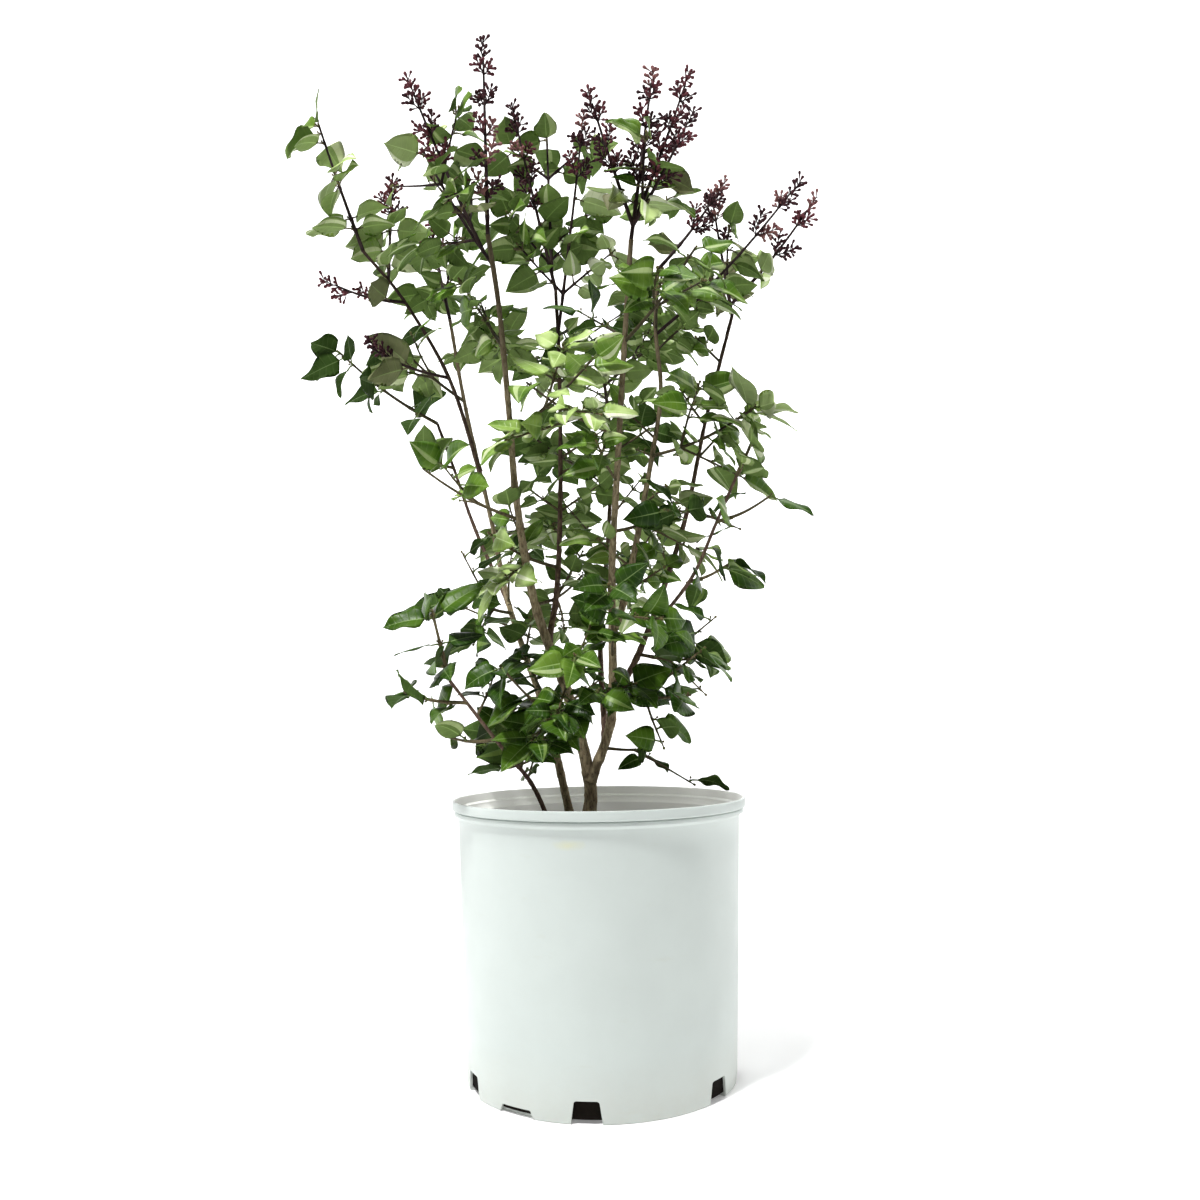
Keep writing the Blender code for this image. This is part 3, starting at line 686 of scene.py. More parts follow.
def plain_cluster(root, ahead, length, grown=0.0):
    """The three-sided spindle that keeps a cluster's place."""
    side = ahead.orthogonal().normalized()
    other = ahead.cross(side)
    half = length * BUD_WIDTH / 2 + grown
    waist = root + ahead * length * BUD_WAIST
    points = [root, root + ahead * (length + grown)]
    faces = []
    for k in range(3):
        turn = tau * k / 3
        points.append(waist + half * (cos(turn) * side + sin(turn) * other))
        a, b = 2 + k, 2 + (k + 1) % 3
        faces += [[0, b, a], [1, a, b]]
    return points, faces


def level_across(along):
    """The level direction at right angles to another, or +X for one that stands upright."""
    across = along.cross(UP)
    return across.normalized() if across.length > NEAR_UPRIGHT else Vector((1, 0, 0))


class Leaf:
    """Where a leaf leaves its twig, its directions along and out of its face, its length and its spray."""

    def __init__(self, root, heading, face, length, spray):
        self.root, self.heading, self.face, self.length, self.spray = root, heading, face, length, spray


class Mass:
    """The shoots that leave a stem at one place. It keeps what it grows, to be drawn finely later."""

    def __init__(self, name, world, rng, young):
        self.name = name
        self.world = world
        self.own = Space()
        self.rng = rng
        self.young = young
        self.solids = []
        self.shoots = []
        self.twigs = []
        self.leaves = []
        self.clusters = []
        self.spray = 0

    def add_if_clear(self, piece, grown):
        """Keeps a piece unless it would touch another mass or a stem, or crowd its own mass."""
        if self.world.touches(piece, grown) or self.own.touches(grown):
            return False
        self.solids.append(piece)
        self.own.add(grown)
        return True

    def add_leaf(self, root, ahead, length, facing=UP):
        """Adds a leaf, turned a little until it is clear, or leaves it out."""
        for attempt in range(LEAF_TRIES):
            heading = (ahead + scatter(self.rng, LEAF_WANDER * attempt) - UP * LEAF_HANG).normalized()
            face = (facing + scatter(self.rng, LEAF_TILT)).normalized()
            blade = plain_leaf(root, heading, face, length)
            if abs(face.dot(heading)) > END_ON or min(p.z for p in blade[0]) < LOWEST_LEAF:
                continue
            if self.add_if_clear(blade, leaf_room(root, heading, face, length)):
                self.leaves.append(Leaf(root, heading, face, length, self.spray))
                return

    def add_twig(self, root, ahead, length, facing):
        """A twig with a pair of leaves half-way and a pair at its tip, or one leaf where it has no room."""
        self.spray += 1
        end = root + ahead * length
        stick = tube([root, end], [TWIG_RADIUS, TWIG_TIP_RADIUS], TWIG_SIDES)
        grown = tube([root + ahead * ROOT, end], [TWIG_RADIUS + MARGIN] * 2, TWIG_SIDES)
        if not self.add_if_clear(stick, grown):
            self.add_leaf(root, ahead, LEAF_LENGTH, facing)
            return
        self.twigs.append((root, ahead, length, self.spray))
        side = ahead.cross(facing).normalized()
        for share in TWIG_PAIRS:
            point = root + ahead * length * share
            for turn in (-1, 1):
                heading = (ahead * (share + TWIG_SPREAD) + side * turn).normalized()
                self.add_leaf(point, heading, LEAF_LENGTH * self.rng.uniform(*TWIG_LEAVES), facing)
            side = Quaternion(ahead, TWIG_TWIST) @ side

    def add_panicle(self, route):
        """Clusters of buds in opposite pairs along a route, longest at its foot, and one at its tip."""
        nodes = max(2, round(length_of(route) / (2 * BUD_STEP)))
        for k in range(nodes):
            share = (k + FIRST_BUD) / nodes
            point, along = place_on(route, share)
            across = Quaternion(along, pi / 2 * k) @ along.orthogonal().normalized()
            length = BUD_CLUSTER * (BUD_FOOT + (BUD_TIP - BUD_FOOT) * share)
            for side in (-1, 1):
                heading = (along * BUD_AHEAD + across * side + scatter(self.rng, BUD_WANDER)).normalized()
                grown = plain_cluster(point + heading * ROOT, heading, length - ROOT, MARGIN)
                if self.add_if_clear(plain_cluster(point, heading, length), grown):
                    self.clusters.append((point, (heading + along * BRANCH_UPRIGHT).normalized(), length))
        point, along = place_on(route, 1)
        root = point - along * 2 * ROOT
        grown = plain_cluster(point, along, BUD_CLUSTER - 2 * ROOT, MARGIN)
        if self.add_if_clear(plain_cluster(root, along, BUD_CLUSTER), grown):
            self.clusters.append((root, along, BUD_CLUSTER))

    def add_shoot(self, route, panicle):
        """Pairs of leaves or twigs along a route, and a panicle or a last pair of leaves at its end."""
        length = length_of(route)
        leafy = (length - panicle) / length
        nodes = max(1, round(leafy * length / INTERNODE))
        turn = self.rng.uniform(0, pi)
        for k in range(nodes):
            self.spray += 1
            point, along = place_on(route, min((k + NODE_SHARE) / nodes * leafy, SHOOT_END))
            across = Quaternion(along, turn + pi / 2 * k) @ level_across(along)
            facing = (UP + along * FACE_AHEAD).normalized()
            for side in (-1, 1):
                heading = (along * NODE_AHEAD + across * side).normalized()
                if k % 2 == 0 and k < nodes - 1 and not self.young:
                    reach = TWIG_LENGTH * self.rng.uniform(*TWIG_REACH)
                    self.add_twig(point, (heading + along * TWIG_AHEAD).normalized(), reach, facing)
                else:
                    self.add_leaf(point, heading, LEAF_LENGTH * self.rng.uniform(*LEAF_SPREAD), facing)
        if panicle:
            shares = [1 - panicle / length * (1 - k / 3) for k in range(4)]
            self.add_panicle([place_on(route, share)[0] for share in shares])
            return
        point, along = place_on(route, SHOOT_END)
        across = Quaternion(along, turn + pi / 2 * nodes) @ level_across(along)
        for side in (-1, 1):
            self.add_leaf(point, (along + across * side * END_SPREAD).normalized(), LEAF_LENGTH * END_LEAF)


def grow_mass(name, stem, height, shoots, world, rng, young):
    """All the shoots that leave a stem at a height."""
    mass = Mass(name, world, rng, young)
    point, along, radius, at_tip = stem.at_height(height)
    for bearing, rise, reach, panicle in shoots:
        for attempt in range(SHOOT_TRIES):
            turned = bearing + SHOOT_TURN * attempt * (-1) ** attempt
            foot = None
            if mass.shoots:
                start = place_on(mass.shoots[0][0], FORK_SHARE)[0]
            elif at_tip:
                start = point + along * GAP
                foot = (start, along)
            else:
                start, foot = side_start(point, along, radius, direction(turned, rise))
            route = shoot_route(start, turned, rise, reach)
            last = len(route) - 1
            radii = [SHOOT_RADIUS + (TWIG_RADIUS - SHOOT_RADIUS) * k / last for k in range(last + 1)]
            stick = tube(route, radii, TWIG_SIDES, foot)
            if not world.touches(stick):
                mass.solids.append(stick)
                mass.shoots.append((route, start if mass.shoots else point, panicle))
                break
    for route, _, panicle in mass.shoots:
        mass.own = Space()
        mass.add_shoot(route, panicle)
    for solid in mass.solids:
        world.add(solid)
    return mass


def all_shoots():
    """Each mass's name, stem, height and shoots: the named ones, and then those that fill the crown.

    The latter run up each stem, each turned on from the one below it and steeper.
    """
    for name, (stem, height, *shoots) in SHOOTS.items():
        yield name, stem, height / 1000, [(*turn, reach / 1000, panicle / 1000)
                                          for *turn, reach, panicle in shoots]
    for stem, (low, high, count, bearing) in CROWN.items():
        low, high = thousandths((low, high))
        for k in range(count):
            share = k / (count - 1)
            rise = CROWN_RISE[0] + (CROWN_RISE[1] - CROWN_RISE[0]) * share
            shoot = (bearing + CROWN_TURN * k, rise, CROWN_REACH, 0)
            yield f"{stem}_shoot_{k + 1}", stem, low + (high - low) * share, [shoot]


def grow_bush():
    """The stems and the masses of the whole bush, as its solids have them."""
    world = pot_space()
    stems = {}
    for name, (foot, tip, sides, parent, bends) in STEMS.items():
        stems[name] = Stem(foot, tip, sides, stems.get(parent), bends)
        world.add(stems[name].solid)
    return stems, [
        grow_mass(name, stems[stem], height, shoots, world, random.Random(SEED + number), stem in YOUNG_STEMS)
        for number, (name, stem, height, shoots) in enumerate(all_shoots())]


def clear_space(stems, masses):
    """The room that the stems, sticks and buds take, without the leaves."""
    space = pot_space()
    for stem in stems.values():
        space.add(stem.solid)
    for mass in masses:
        for route, _, _ in mass.shoots:
            space.add(tube(route, [SHOOT_RADIUS] * len(route), TWIG_SIDES))
        for root, ahead, length, _ in mass.twigs:
            space.add(twig_room(root, ahead, length))
        for root, heading, length in mass.clusters:
            space.add(plain_cluster(root + heading * ROOT, heading, length - ROOT))
    return space


def in_sky(leaf):
    """Whether a leaf would close one of the openings that the crown has from the front."""
    middle = leaf.root + leaf.heading * leaf.length * LEAF_MIDDLE
    seen = CAMERA_PLACE.lerp(middle, CAMERA_PLACE.y / (CAMERA_PLACE.y - middle.y))
    return any(hypot(seen.x - x, seen.z - z) < radius + SKY_EDGE for x, z, radius in map(thousandths, SKY))


def to_light(leaf, rng, share):
    """A heading and a face turned by a share from the leaf's own towards the light at the crown's outside."""
    away = Vector((leaf.root.x - CROWN_MIDDLE.x, leaf.root.y - CROWN_MIDDLE.y, 0))
    away = away / max(away.length, NEAR_MIDDLE)
    level = Vector((leaf.heading.x, leaf.heading.y, 0))
    level = level.normalized() if level.length > 0.1 else away.normalized()
    droop = rng.uniform(*DROOP) + DROOP_OUTWARD * max(0.0, level.dot(away)) * rng.uniform(*DROOP_SPREAD)
    droop -= KEPT_RISE * max(0.0, leaf.heading.z)
    wanted = level * cos(droop) - UP * sin(droop)
    heading = leaf.heading.lerp(wanted, share).normalized()
    lit = UP * LIGHT_ABOVE + away * LIGHT_OUTSIDE + Vector([rng.gauss(0, LIGHT_SCATTER) for _ in range(3)])
    face = leaf.face.lerp(lit.normalized(), share)
    return heading, (face - heading * face.dot(heading)).normalized()


def turn_to_light(leaf, space, rng):
    """Turns a leaf as far to the light as its neighbours let it."""
    for share in LIGHT_TRIES:
        heading, face = to_light(leaf, rng, share)
        room = leaf_room(leaf.root, heading, face, leaf.length)
        if min(p.z for p in room[0]) > LOWEST_LEAF and not space.touches(room):
            leaf.heading, leaf.face = heading, face
            break
    space.add(leaf_room(leaf.root, leaf.heading, leaf.face, leaf.length))


def add_pairs(root, ahead, length, shares, sizes, spray, space, rng):
    """Opposite leaves on a stick, each pair turned a quarter from the last, where there is room."""
    leaves = []
    side = Quaternion(ahead, rng.uniform(0, pi)) @ level_across(ahead)
    for share in shares:
        point = root + ahead * length * share
        for turn in (-1, 1):
            for attempt in range(LEAF_TRIES):
                wander = Vector([rng.uniform(-PAIR_WANDER, PAIR_WANDER) * attempt for _ in range(3)])
                heading = (ahead * PAIR_AHEAD + side * turn + wander).normalized()
                leaf = Leaf(point, heading, UP, rng.uniform(*sizes), spray)
                leaf.heading, leaf.face = to_light(leaf, rng, PAIR_LIGHT)
                room = leaf_room(point, leaf.heading, leaf.face, leaf.length)
                fits = min(p.z for p in room[0]) >= LOWEST_LEAF and inside_box(room[0]) and not in_sky(leaf)
                if fits and not space.touches(room):
                    space.add(room)
                    leaves.append(leaf)
                    break
        side = Quaternion(ahead, pi / 2 + rng.uniform(-PAIR_TURN, PAIR_TURN)) @ side
    return leaves


def grow_spurs(stem, low, high, step, space, rng):
    """Short leafy twigs in opposite pairs up a stem, each pair turned on from the last."""
    turn = rng.uniform(0, pi)
    height = low
    while height < high:
        point, along, radius, _ = stem.at_height(height)
        for side in (0, pi):
            rise = rng.uniform(*SPUR_RISE)
            level = Vector((cos(turn + side), sin(turn + side), 0))
            ahead = (level * cos(rise) + along * sin(rise)).normalized()
            length = rng.uniform(*SPUR_LENGTH)
            root = point + ahead * (radius + SPUR_GAP)
            stick = twig_room(root, ahead, length, 0)
            if space.touches(stick) or not inside_box(stick[0]):
                continue
            space.add(twig_room(root, ahead, length))
            leaves = add_pairs(root, ahead, length, SPUR_SHARES, SPUR_LEAVES, 0, space, rng)
            if leaves:
                yield point, ahead, length + radius, height, leaves
        turn += SPUR_TURN
        height += step * rng.uniform(*SPUR_SPREAD)


def finer_growth(stems, masses, rng):
    """Turns the leaves to the light, then adds small pairs on the twigs, and leafy twigs on the stems."""
    space = clear_space(stems, masses)
    for mass in masses:
        for leaf in mass.leaves:
            turn_to_light(leaf, space, rng)
        mass.leaves = [leaf for leaf in mass.leaves if mass.name == "right_arm" or not in_sky(leaf)]
    for mass in masses:
        if mass.name in LEAFY_ARMS or mass.young and "panicle" not in mass.name:
            for route, _, panicle in mass.shoots:
                length = length_of(route)
                leafy = (length - panicle) / length
                middle, ahead = place_on(route, 0.5)
                shares = [leafy * (k + 0.5) / ARM_PAIRS for k in range(ARM_PAIRS)]
                mass.leaves += add_pairs(
                    middle - ahead * length * 0.5, ahead, length, shares, ARM_LEAVES, 0, space, rng)
        for root, ahead, length, spray in mass.twigs:
            mass.leaves += add_pairs(root, ahead, length, FILL_SHARES, FILL_LEAVES, spray, space, rng)
    return [spur for name, sizes in SPURS.items()
            for spur in grow_spurs(stems[name], *thousandths(sizes), space, rng)]


def add_object(name, data, materials=()):
    for material in materials:
        data.materials.append(material)
    obj = bpy.data.objects.new(name, data)
    bpy.context.scene.collection.objects.link(obj)
    return obj


def plain_object(name, points, faces, materials=()):
    mesh = bpy.data.meshes.new(name)
    mesh.from_pydata([tuple(p) for p in points], [], faces)
    return add_object(name, mesh, materials)


def finish_piece(obj, nodes):
    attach(obj, "root")
    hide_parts(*nodes)


class Piece:
    """Shapes gathered into one mesh: points, faces of three and four corners, their materials and places."""

    def __init__(self):
        self.count = 0
        self.points = []
        self.marks = []
        self.faces = {3: [], 4: []}
        self.slots = {3: [], 4: []}

    def add(self, points, faces, slot=0, marks=None):
        """Adds a shape. faces holds arrays of three or of four corners, and slot one material or arrays."""
        points = np.asarray(points, float)
        self.points.append(points)
        self.marks.append(np.zeros((len(points), 2)) if marks is None else marks)
        for k, group in enumerate(faces):
            group = np.asarray(group)
            corners = group.shape[1]
            self.faces[corners].append(group + self.count)
            self.slots[corners].append(np.full(len(group), slot) if np.isscalar(slot) else slot[k])
        self.count += len(points)

    def make(self, name, materials, slot, nodes):
        """Makes the object of all the shapes, fixes it to the root body and hides the solids that it stands
        for.
        """
        groups = [(n, np.concatenate(self.faces[n]), np.concatenate(self.slots[n]))
                  for n in (3, 4) if self.faces[n]]
        loops = np.concatenate([faces.ravel() for _, faces, _ in groups])
        totals = np.concatenate([np.full(len(faces), n) for n, faces, _ in groups])
        mesh = bpy.data.meshes.new(name)
        mesh.vertices.add(self.count)
        mesh.vertices.foreach_set("co", np.concatenate(self.points).ravel())
        mesh.loops.add(len(loops))
        mesh.loops.foreach_set("vertex_index", loops)
        mesh.polygons.add(len(totals))
        for key, values in (("loop_start", np.concatenate([[0], np.cumsum(totals)[:-1]])),
                            ("loop_total", totals),
                            ("material_index", np.concatenate([slots for _, _, slots in groups])),
                            ("use_smooth", np.ones(len(totals), bool))):
            mesh.polygons.foreach_set(key, values)
        layer = mesh.uv_layers.new(name="places")
        layer.data.foreach_set("uv", np.concatenate(self.marks)[loops].ravel())
        mesh.update(calc_edges=True)
        mesh.validate()
        finish_piece(add_object(name, mesh, materials), nodes)


def ring_faces(rings, sides):
    """The faces of a tube of rings, closed at both ends by a fan round a point of its own."""
    at = np.arange(rings * sides).reshape(rings, sides)
    after = np.roll(at, -1, axis=1)
    quads = np.stack([at[:-1], after[:-1], after[1:], at[1:]], axis=-1).reshape(-1, 4)
    foot = rings * sides
    first = np.stack([after[0], at[0], np.full(sides, foot)], axis=-1)
    last = np.stack([at[-1], after[-1], np.full(sides, foot + 1)], axis=-1)
    return np.concatenate([first, last]), quads


def frames_along(route):
    """Directions along and across a route at each of its points, turning as little as they can."""
    ahead = np.gradient(route, axis=0)
    ahead /= np.linalg.norm(ahead, axis=1)[:, None]
    across = np.zeros_like(route)
    last = np.array(Vector(ahead[0]).orthogonal().normalized())
    for k, along in enumerate(ahead):
        last = last - along * last.dot(along)
        last /= np.linalg.norm(last)
        across[k] = last
    return ahead, across, np.cross(ahead, across)


def fine_tube(route, radii, sides):
    """Points and faces of a tube with a domed end. radii holds one number a ring, or one a point."""
    route = np.asarray(route, float)
    radii = np.asarray(radii, float)
    ahead, across, other = frames_along(route)
    turn = np.arange(sides) * tau / sides
    spokes = across[:, None] * np.cos(turn)[None, :, None] + other[:, None] * np.sin(turn)[None, :, None]
    widths = radii[:, None] if radii.ndim == 1 else radii
    points = (route[:, None] + spokes * widths[..., None]).reshape(-1, 3)
    tips = np.array([route[0], route[-1] + ahead[-1] * widths[-1].mean() * 0.5])
    return np.concatenate([points, tips]), ring_faces(len(route), sides)


def add_bud(piece, root, ahead, length, radius, slot):
    """One flower bud: a narrow tube that swells to a rounded head."""
    stations, widths = np.array(BUD_PROFILE).T
    route = np.array(root)[None] + np.array(ahead)[None] * (stations * length)[:, None]
    points, faces = fine_tube(route, widths * radius, BUD_SIDES)
    if inside_box(points):
        piece.add(points, faces, slot)


def add_cluster(piece, root, ahead, length, rng):
    """A side branch of a panicle: opposite buds on short stalks, and three at its tip."""
    tone = rng.choice(BUD_TONES)
    side = Quaternion(ahead, rng.uniform(0, pi)) @ ahead.orthogonal().normalized()
    bow = side * length * rng.uniform(-BRANCH_BOW, BRANCH_BOW)
    reach = length * BRANCH_REACH
    route = [root + ahead * reach * share + bow * sin(pi * share) for share in (0, 0.5, 1)]
    piece.add(*fine_tube(route, BRANCH_RADII, BRANCH_SIDES), PANICLE_STALK)

    def bud(place, heading, size=1.0):
        length = rng.uniform(*BUD_LENGTH) * size
        add_bud(piece, place, heading, length, rng.uniform(*BUD_RADIUS) * size, tone)

    nodes = max(3, round(length / BUD_SPACING))
    for k in range(nodes):
        point, along = place_on(route, min((k + BUD_NODE) / nodes, 1))
        across = Quaternion(along, pi / 2 * k) @ side
        for turn in (-1, 1):
            heading = (along * BUD_OPEN + across * turn + scatter(rng, BUD_SCATTER)).normalized()
            stalk = rng.uniform(*BUD_STALK)
            end = point + heading * stalk
            piece.add(*fine_tube([point, end], BUD_STALK_RADII, BUD_STALK_SIDES), PANICLE_STALK)
            bud(end - heading * BUD_INSIDE, heading)
            if rng.random() < FORKED_BUDS and k < nodes - 1:
                aside = rng.choice((-FORKED_ASIDE, FORKED_ASIDE))
                forked = (heading + along * FORKED_AHEAD + across.cross(along) * aside).normalized()
                bud(point + heading * stalk * 0.5, forked, FORKED_SIZE)
    tip, along = place_on(route, 1)
    bud(tip - along * TIP_BUD_INSIDE, along)


def half_width(share):
    """Half a leaf's width at each share of its length, as a share of its greatest half width."""
    base, tip = BLADE_OUTLINE
    share = np.clip(share, 0, 1)
    return share ** base * (1 - share) ** tip / BLADE_WIDEST


def blade_template():
    """Shares along and across a leaf, its faces, and their materials, plain and with each pale band of
    painted sheen.
    """
    rows = (np.arange(1, BLADE_ROWS) / BLADE_ROWS) ** BLADE_CROWDING
    columns = len(BLADE_COLUMNS)
    count = len(rows) * columns
    grid = np.arange(count).reshape(len(rows), columns)
    below = grid + count
    below[:, [0, -1]] = grid[:, [0, -1]]
    base, tip = 2 * count, 2 * count + 1
    faces = {3: [], 4: []}
    marks = {3: [], 4: []}
    for layer, slot, order in ((grid, TOP, -1), (below, UNDER, 1)):
        for c in range(columns - 1):
            kind = RIB if c == columns // 2 - 1 else slot
            strip = [[layer[r, c], layer[r + 1, c], layer[r + 1, c + 1], layer[r, c + 1]]
                     for r in range(len(rows) - 1)]
            strip += [[base, layer[0, c], layer[0, c + 1]], [tip, layer[-1, c + 1], layer[-1, c]]]
            for face in strip:
                faces[len(face)].append(face[::order])
                marks[len(face)].append((kind, c))
    kinds, strips = zip(*(np.array(marks[n]).T for n in (3, 4)))
    banded = [[np.where(np.isin(strip, painted_sheen) & (kind < RIB), PAINTED_SHEEN, kind)
               for strip, kind in zip(strips, kinds)] for painted_sheen in BANDS]
    return rows, np.array(BLADE_COLUMNS), [np.array(faces[n]) for n in (3, 4)], kinds, banded


TEMPLATE = blade_template()


def blade_points(root, ahead, face, length, rng, curled):
    """The points of one leaf: its rib bends down, its halves fold up from it, and its edge waves."""
    rows, across = TEMPLATE[:2]
    bend = rng.uniform(*BLADE_BEND)
    fold = rng.uniform(*BLADE_FOLD) * (CURLED_FOLD if curled else 1.0)
    twist = rng.uniform(-BLADE_TWIST, BLADE_TWIST)
    wave = rng.uniform(*BLADE_WAVE)
    phases = (rng.uniform(0, tau), rng.uniform(0, tau))
    width = rng.uniform(*BLADE_WIDTH) * (CURLED_WIDTH if curled else 1.0) / 2
    waves = rng.uniform(*BLADE_WAVES)
    side = ahead.cross(face).normalized()
    root, side, ahead, face = (np.array(v) for v in (root, side, ahead, side.cross(ahead)))

    size = np.abs(across)[None]
    shares = rows[:, None] + BLADE_SWEEP * size * 4 * (rows * (1 - rows))[:, None]
    half = half_width(shares) * width
    offset = across[None] * half
    rib = RIB_WIDTH / length * (1.15 - rows)
    middle = len(across) // 2
    offset[:, middle - 1], offset[:, middle] = -rib, rib
    lift = np.abs(offset) * tan(fold) - half * size ** 2 * BLADE_ARCH
    phase = np.where(across < 0, *phases)[None]
    lift += wave * np.sin(tau * waves * shares + phase) * size ** 2
    ridge = np.where(np.arange(len(rows)) % 2 == 0, 1.0, -1.0)[:, None]
    lift += ridge * VEIN_DEPTH * size * (1 - size) * 2
    angle = bend * shares
    along = np.sin(angle) / bend - BLADE_LOBE * size ** 2 * np.exp(-shares / LOBE_LENGTH)
    drop = (1 - np.cos(angle)) / bend
    turn = twist * shares
    sideways = offset * np.cos(turn) - lift * np.sin(turn)
    outward = offset * np.sin(turn) + lift * np.cos(turn)
    thick = np.where(size < 1, BLADE_THICK / length * (1.2 - size * 0.6), 0)

    def placed(normal):
        body = (side * sideways[..., None]
                + ahead * (along + np.sin(angle) * normal)[..., None]
                + face * (np.cos(angle) * normal - drop)[..., None])
        return (root + length * body).reshape(-1, 3)

    tip = root + length * (ahead * sin(bend) / bend - face * (1 - cos(bend)) / bend)
    row_marks = np.arange(1, BLADE_ROWS)[:, None] / BLADE_ROWS
    marks = np.stack(np.broadcast_arrays(row_marks, (across + 1) / 2), axis=-1).reshape(-1, 2)
    points = np.concatenate([placed(outward + thick), placed(outward - thick), [root], [tip]])
    return points, np.concatenate([marks, marks, [[0, 0.5], [1, 0.5]]])


def add_fine_leaf(blades, sticks, leaf, rng, bands, share=BLADE_SHARE, curled=False):
    """A leaf with its stalk and the bud in its axil. Returns whether it has room."""
    root, heading, face, length = leaf.root, leaf.heading, leaf.face, leaf.length * share
    stalk = min(STALK * rng.uniform(*STALK_SPREAD), length * LONGEST_STALK)
    start = root + heading * stalk
    points, marks = blade_points(start, heading, face, length - stalk, rng, curled)
    if not inside_box(points) or points[:, 2].min() < LOWEST_BLADE:
        return False
    _, _, faces, plain, banded = TEMPLATE
    # Some blades take a pale band in some of their columns, a painted sheen
    blades.add(points, faces, rng.choice(banded) if rng.random() < bands else plain, marks)
    route = [root, root.lerp(start, 0.5) + face * stalk * STALK_BOW, start + heading * STALK_INSIDE]
    radii = [STALK_RADIUS * part for part in STALK_TAPER]
    sticks.add(*fine_tube(route, radii, STALK_SIDES), GREEN_STALK)
    axil = root + (heading + face * 0.9).normalized() * AXIL
    add_bud(sticks, axil, (heading * 0.5 + face).normalized(), *AXIL_BUD, SCALE)
    return True


def add_stick(piece, path, foot, tip, sides, nodes):
    """A stick that tapers along a path and is thicker where its nodes are."""
    path = np.asarray(path)
    factor = np.ones(len(path))
    for node in nodes:
        away = np.linalg.norm(path - np.array(node), axis=1)
        factor += NODE_SWELL * np.exp(-(away / NODE_LENGTH) ** 2)
    radii = np.array([foot + (tip - foot) * k / (len(path) - 1) for k in range(len(path))])
    piece.add(*fine_tube(path, radii * np.minimum(factor, 1 + NODE_SWELL), sides), TWIG)


def up_to_last(path, nodes):
    """The part of a path up to the last of the nodes that lie on it."""
    places = np.array([np.array(node) for node in nodes]).reshape(-1, 3)
    near = [k for k, point in enumerate(path) if (np.linalg.norm(places - point, axis=1) < ON_PATH).any()]
    return path[:max(near) + 2] if near else path[:SHORTEST_PATH]


def add_sticks(piece, mass):
    """The mass's shoots and twigs, each up to its last leaf, and thicker where leaves and twigs leave it."""
    twigs = []
    for root, ahead, length, spray in mass.twigs:
        reach = max(((leaf.root - root).dot(ahead) for leaf in mass.leaves if leaf.spray == spray), default=0)
        if reach > MM:
            twigs.append((root, ahead, min(length, reach + MM)))
    nodes = [leaf.root for leaf in mass.leaves] + [root for root, *_ in twigs]
    for route, origin, panicle in mass.shoots:
        path = route_through([origin, *route] if (origin - route[0]).length > MM else route, FINE_STEP)
        if not panicle:
            path = up_to_last([np.array(point) for point in path], nodes)
        add_stick(piece, path, SHOOT_RADIUS, TWIG_RADIUS * SHOOT_TIP, SHOOT_SIDES, nodes)
    for root, ahead, length in twigs:
        add_twig_stick(piece, root, ahead, length, nodes)


def add_twig_stick(piece, root, ahead, length, nodes):
    """A thin twig that bows a little, with a bud at its tip."""
    bow = ahead.cross(UP) * length * TWIG_BOW
    bends = [root, root + ahead * length * 0.5 + bow, root + ahead * (length + 0.002)]
    add_stick(piece, route_through(bends, FINE_STEP), TWIG_RADIUS * TWIG_FOOT, TWIG_TIP_RADIUS * TWIG_TIP,
              FINE_TWIG_SIDES, nodes)
    add_bud(piece, root + ahead * (length + 0.0015), ahead, *TIP_BUD, SCALE)


def palette_of(mass, height):
    """The tones that a spray of this mass may have: darker low down and on the dark arms, paler higher up,
    partly painted shade and painted light.
    """
    if mass.name in DARK_ARMS:
        return ARM_PALETTE
    if mass.name.startswith(("low_", "foot_")) or height < LOW_CROWN:
        return LOW_PALETTE
    if "panicle" in mass.name or mass.name == CURLED_MASS:
        return TIP_PALETTE
    return UPPER_PALETTE if height > HIGH_CROWN else MIDDLE_PALETTE


def scaled(colour, share):
    return tuple(c * share for c in colour)


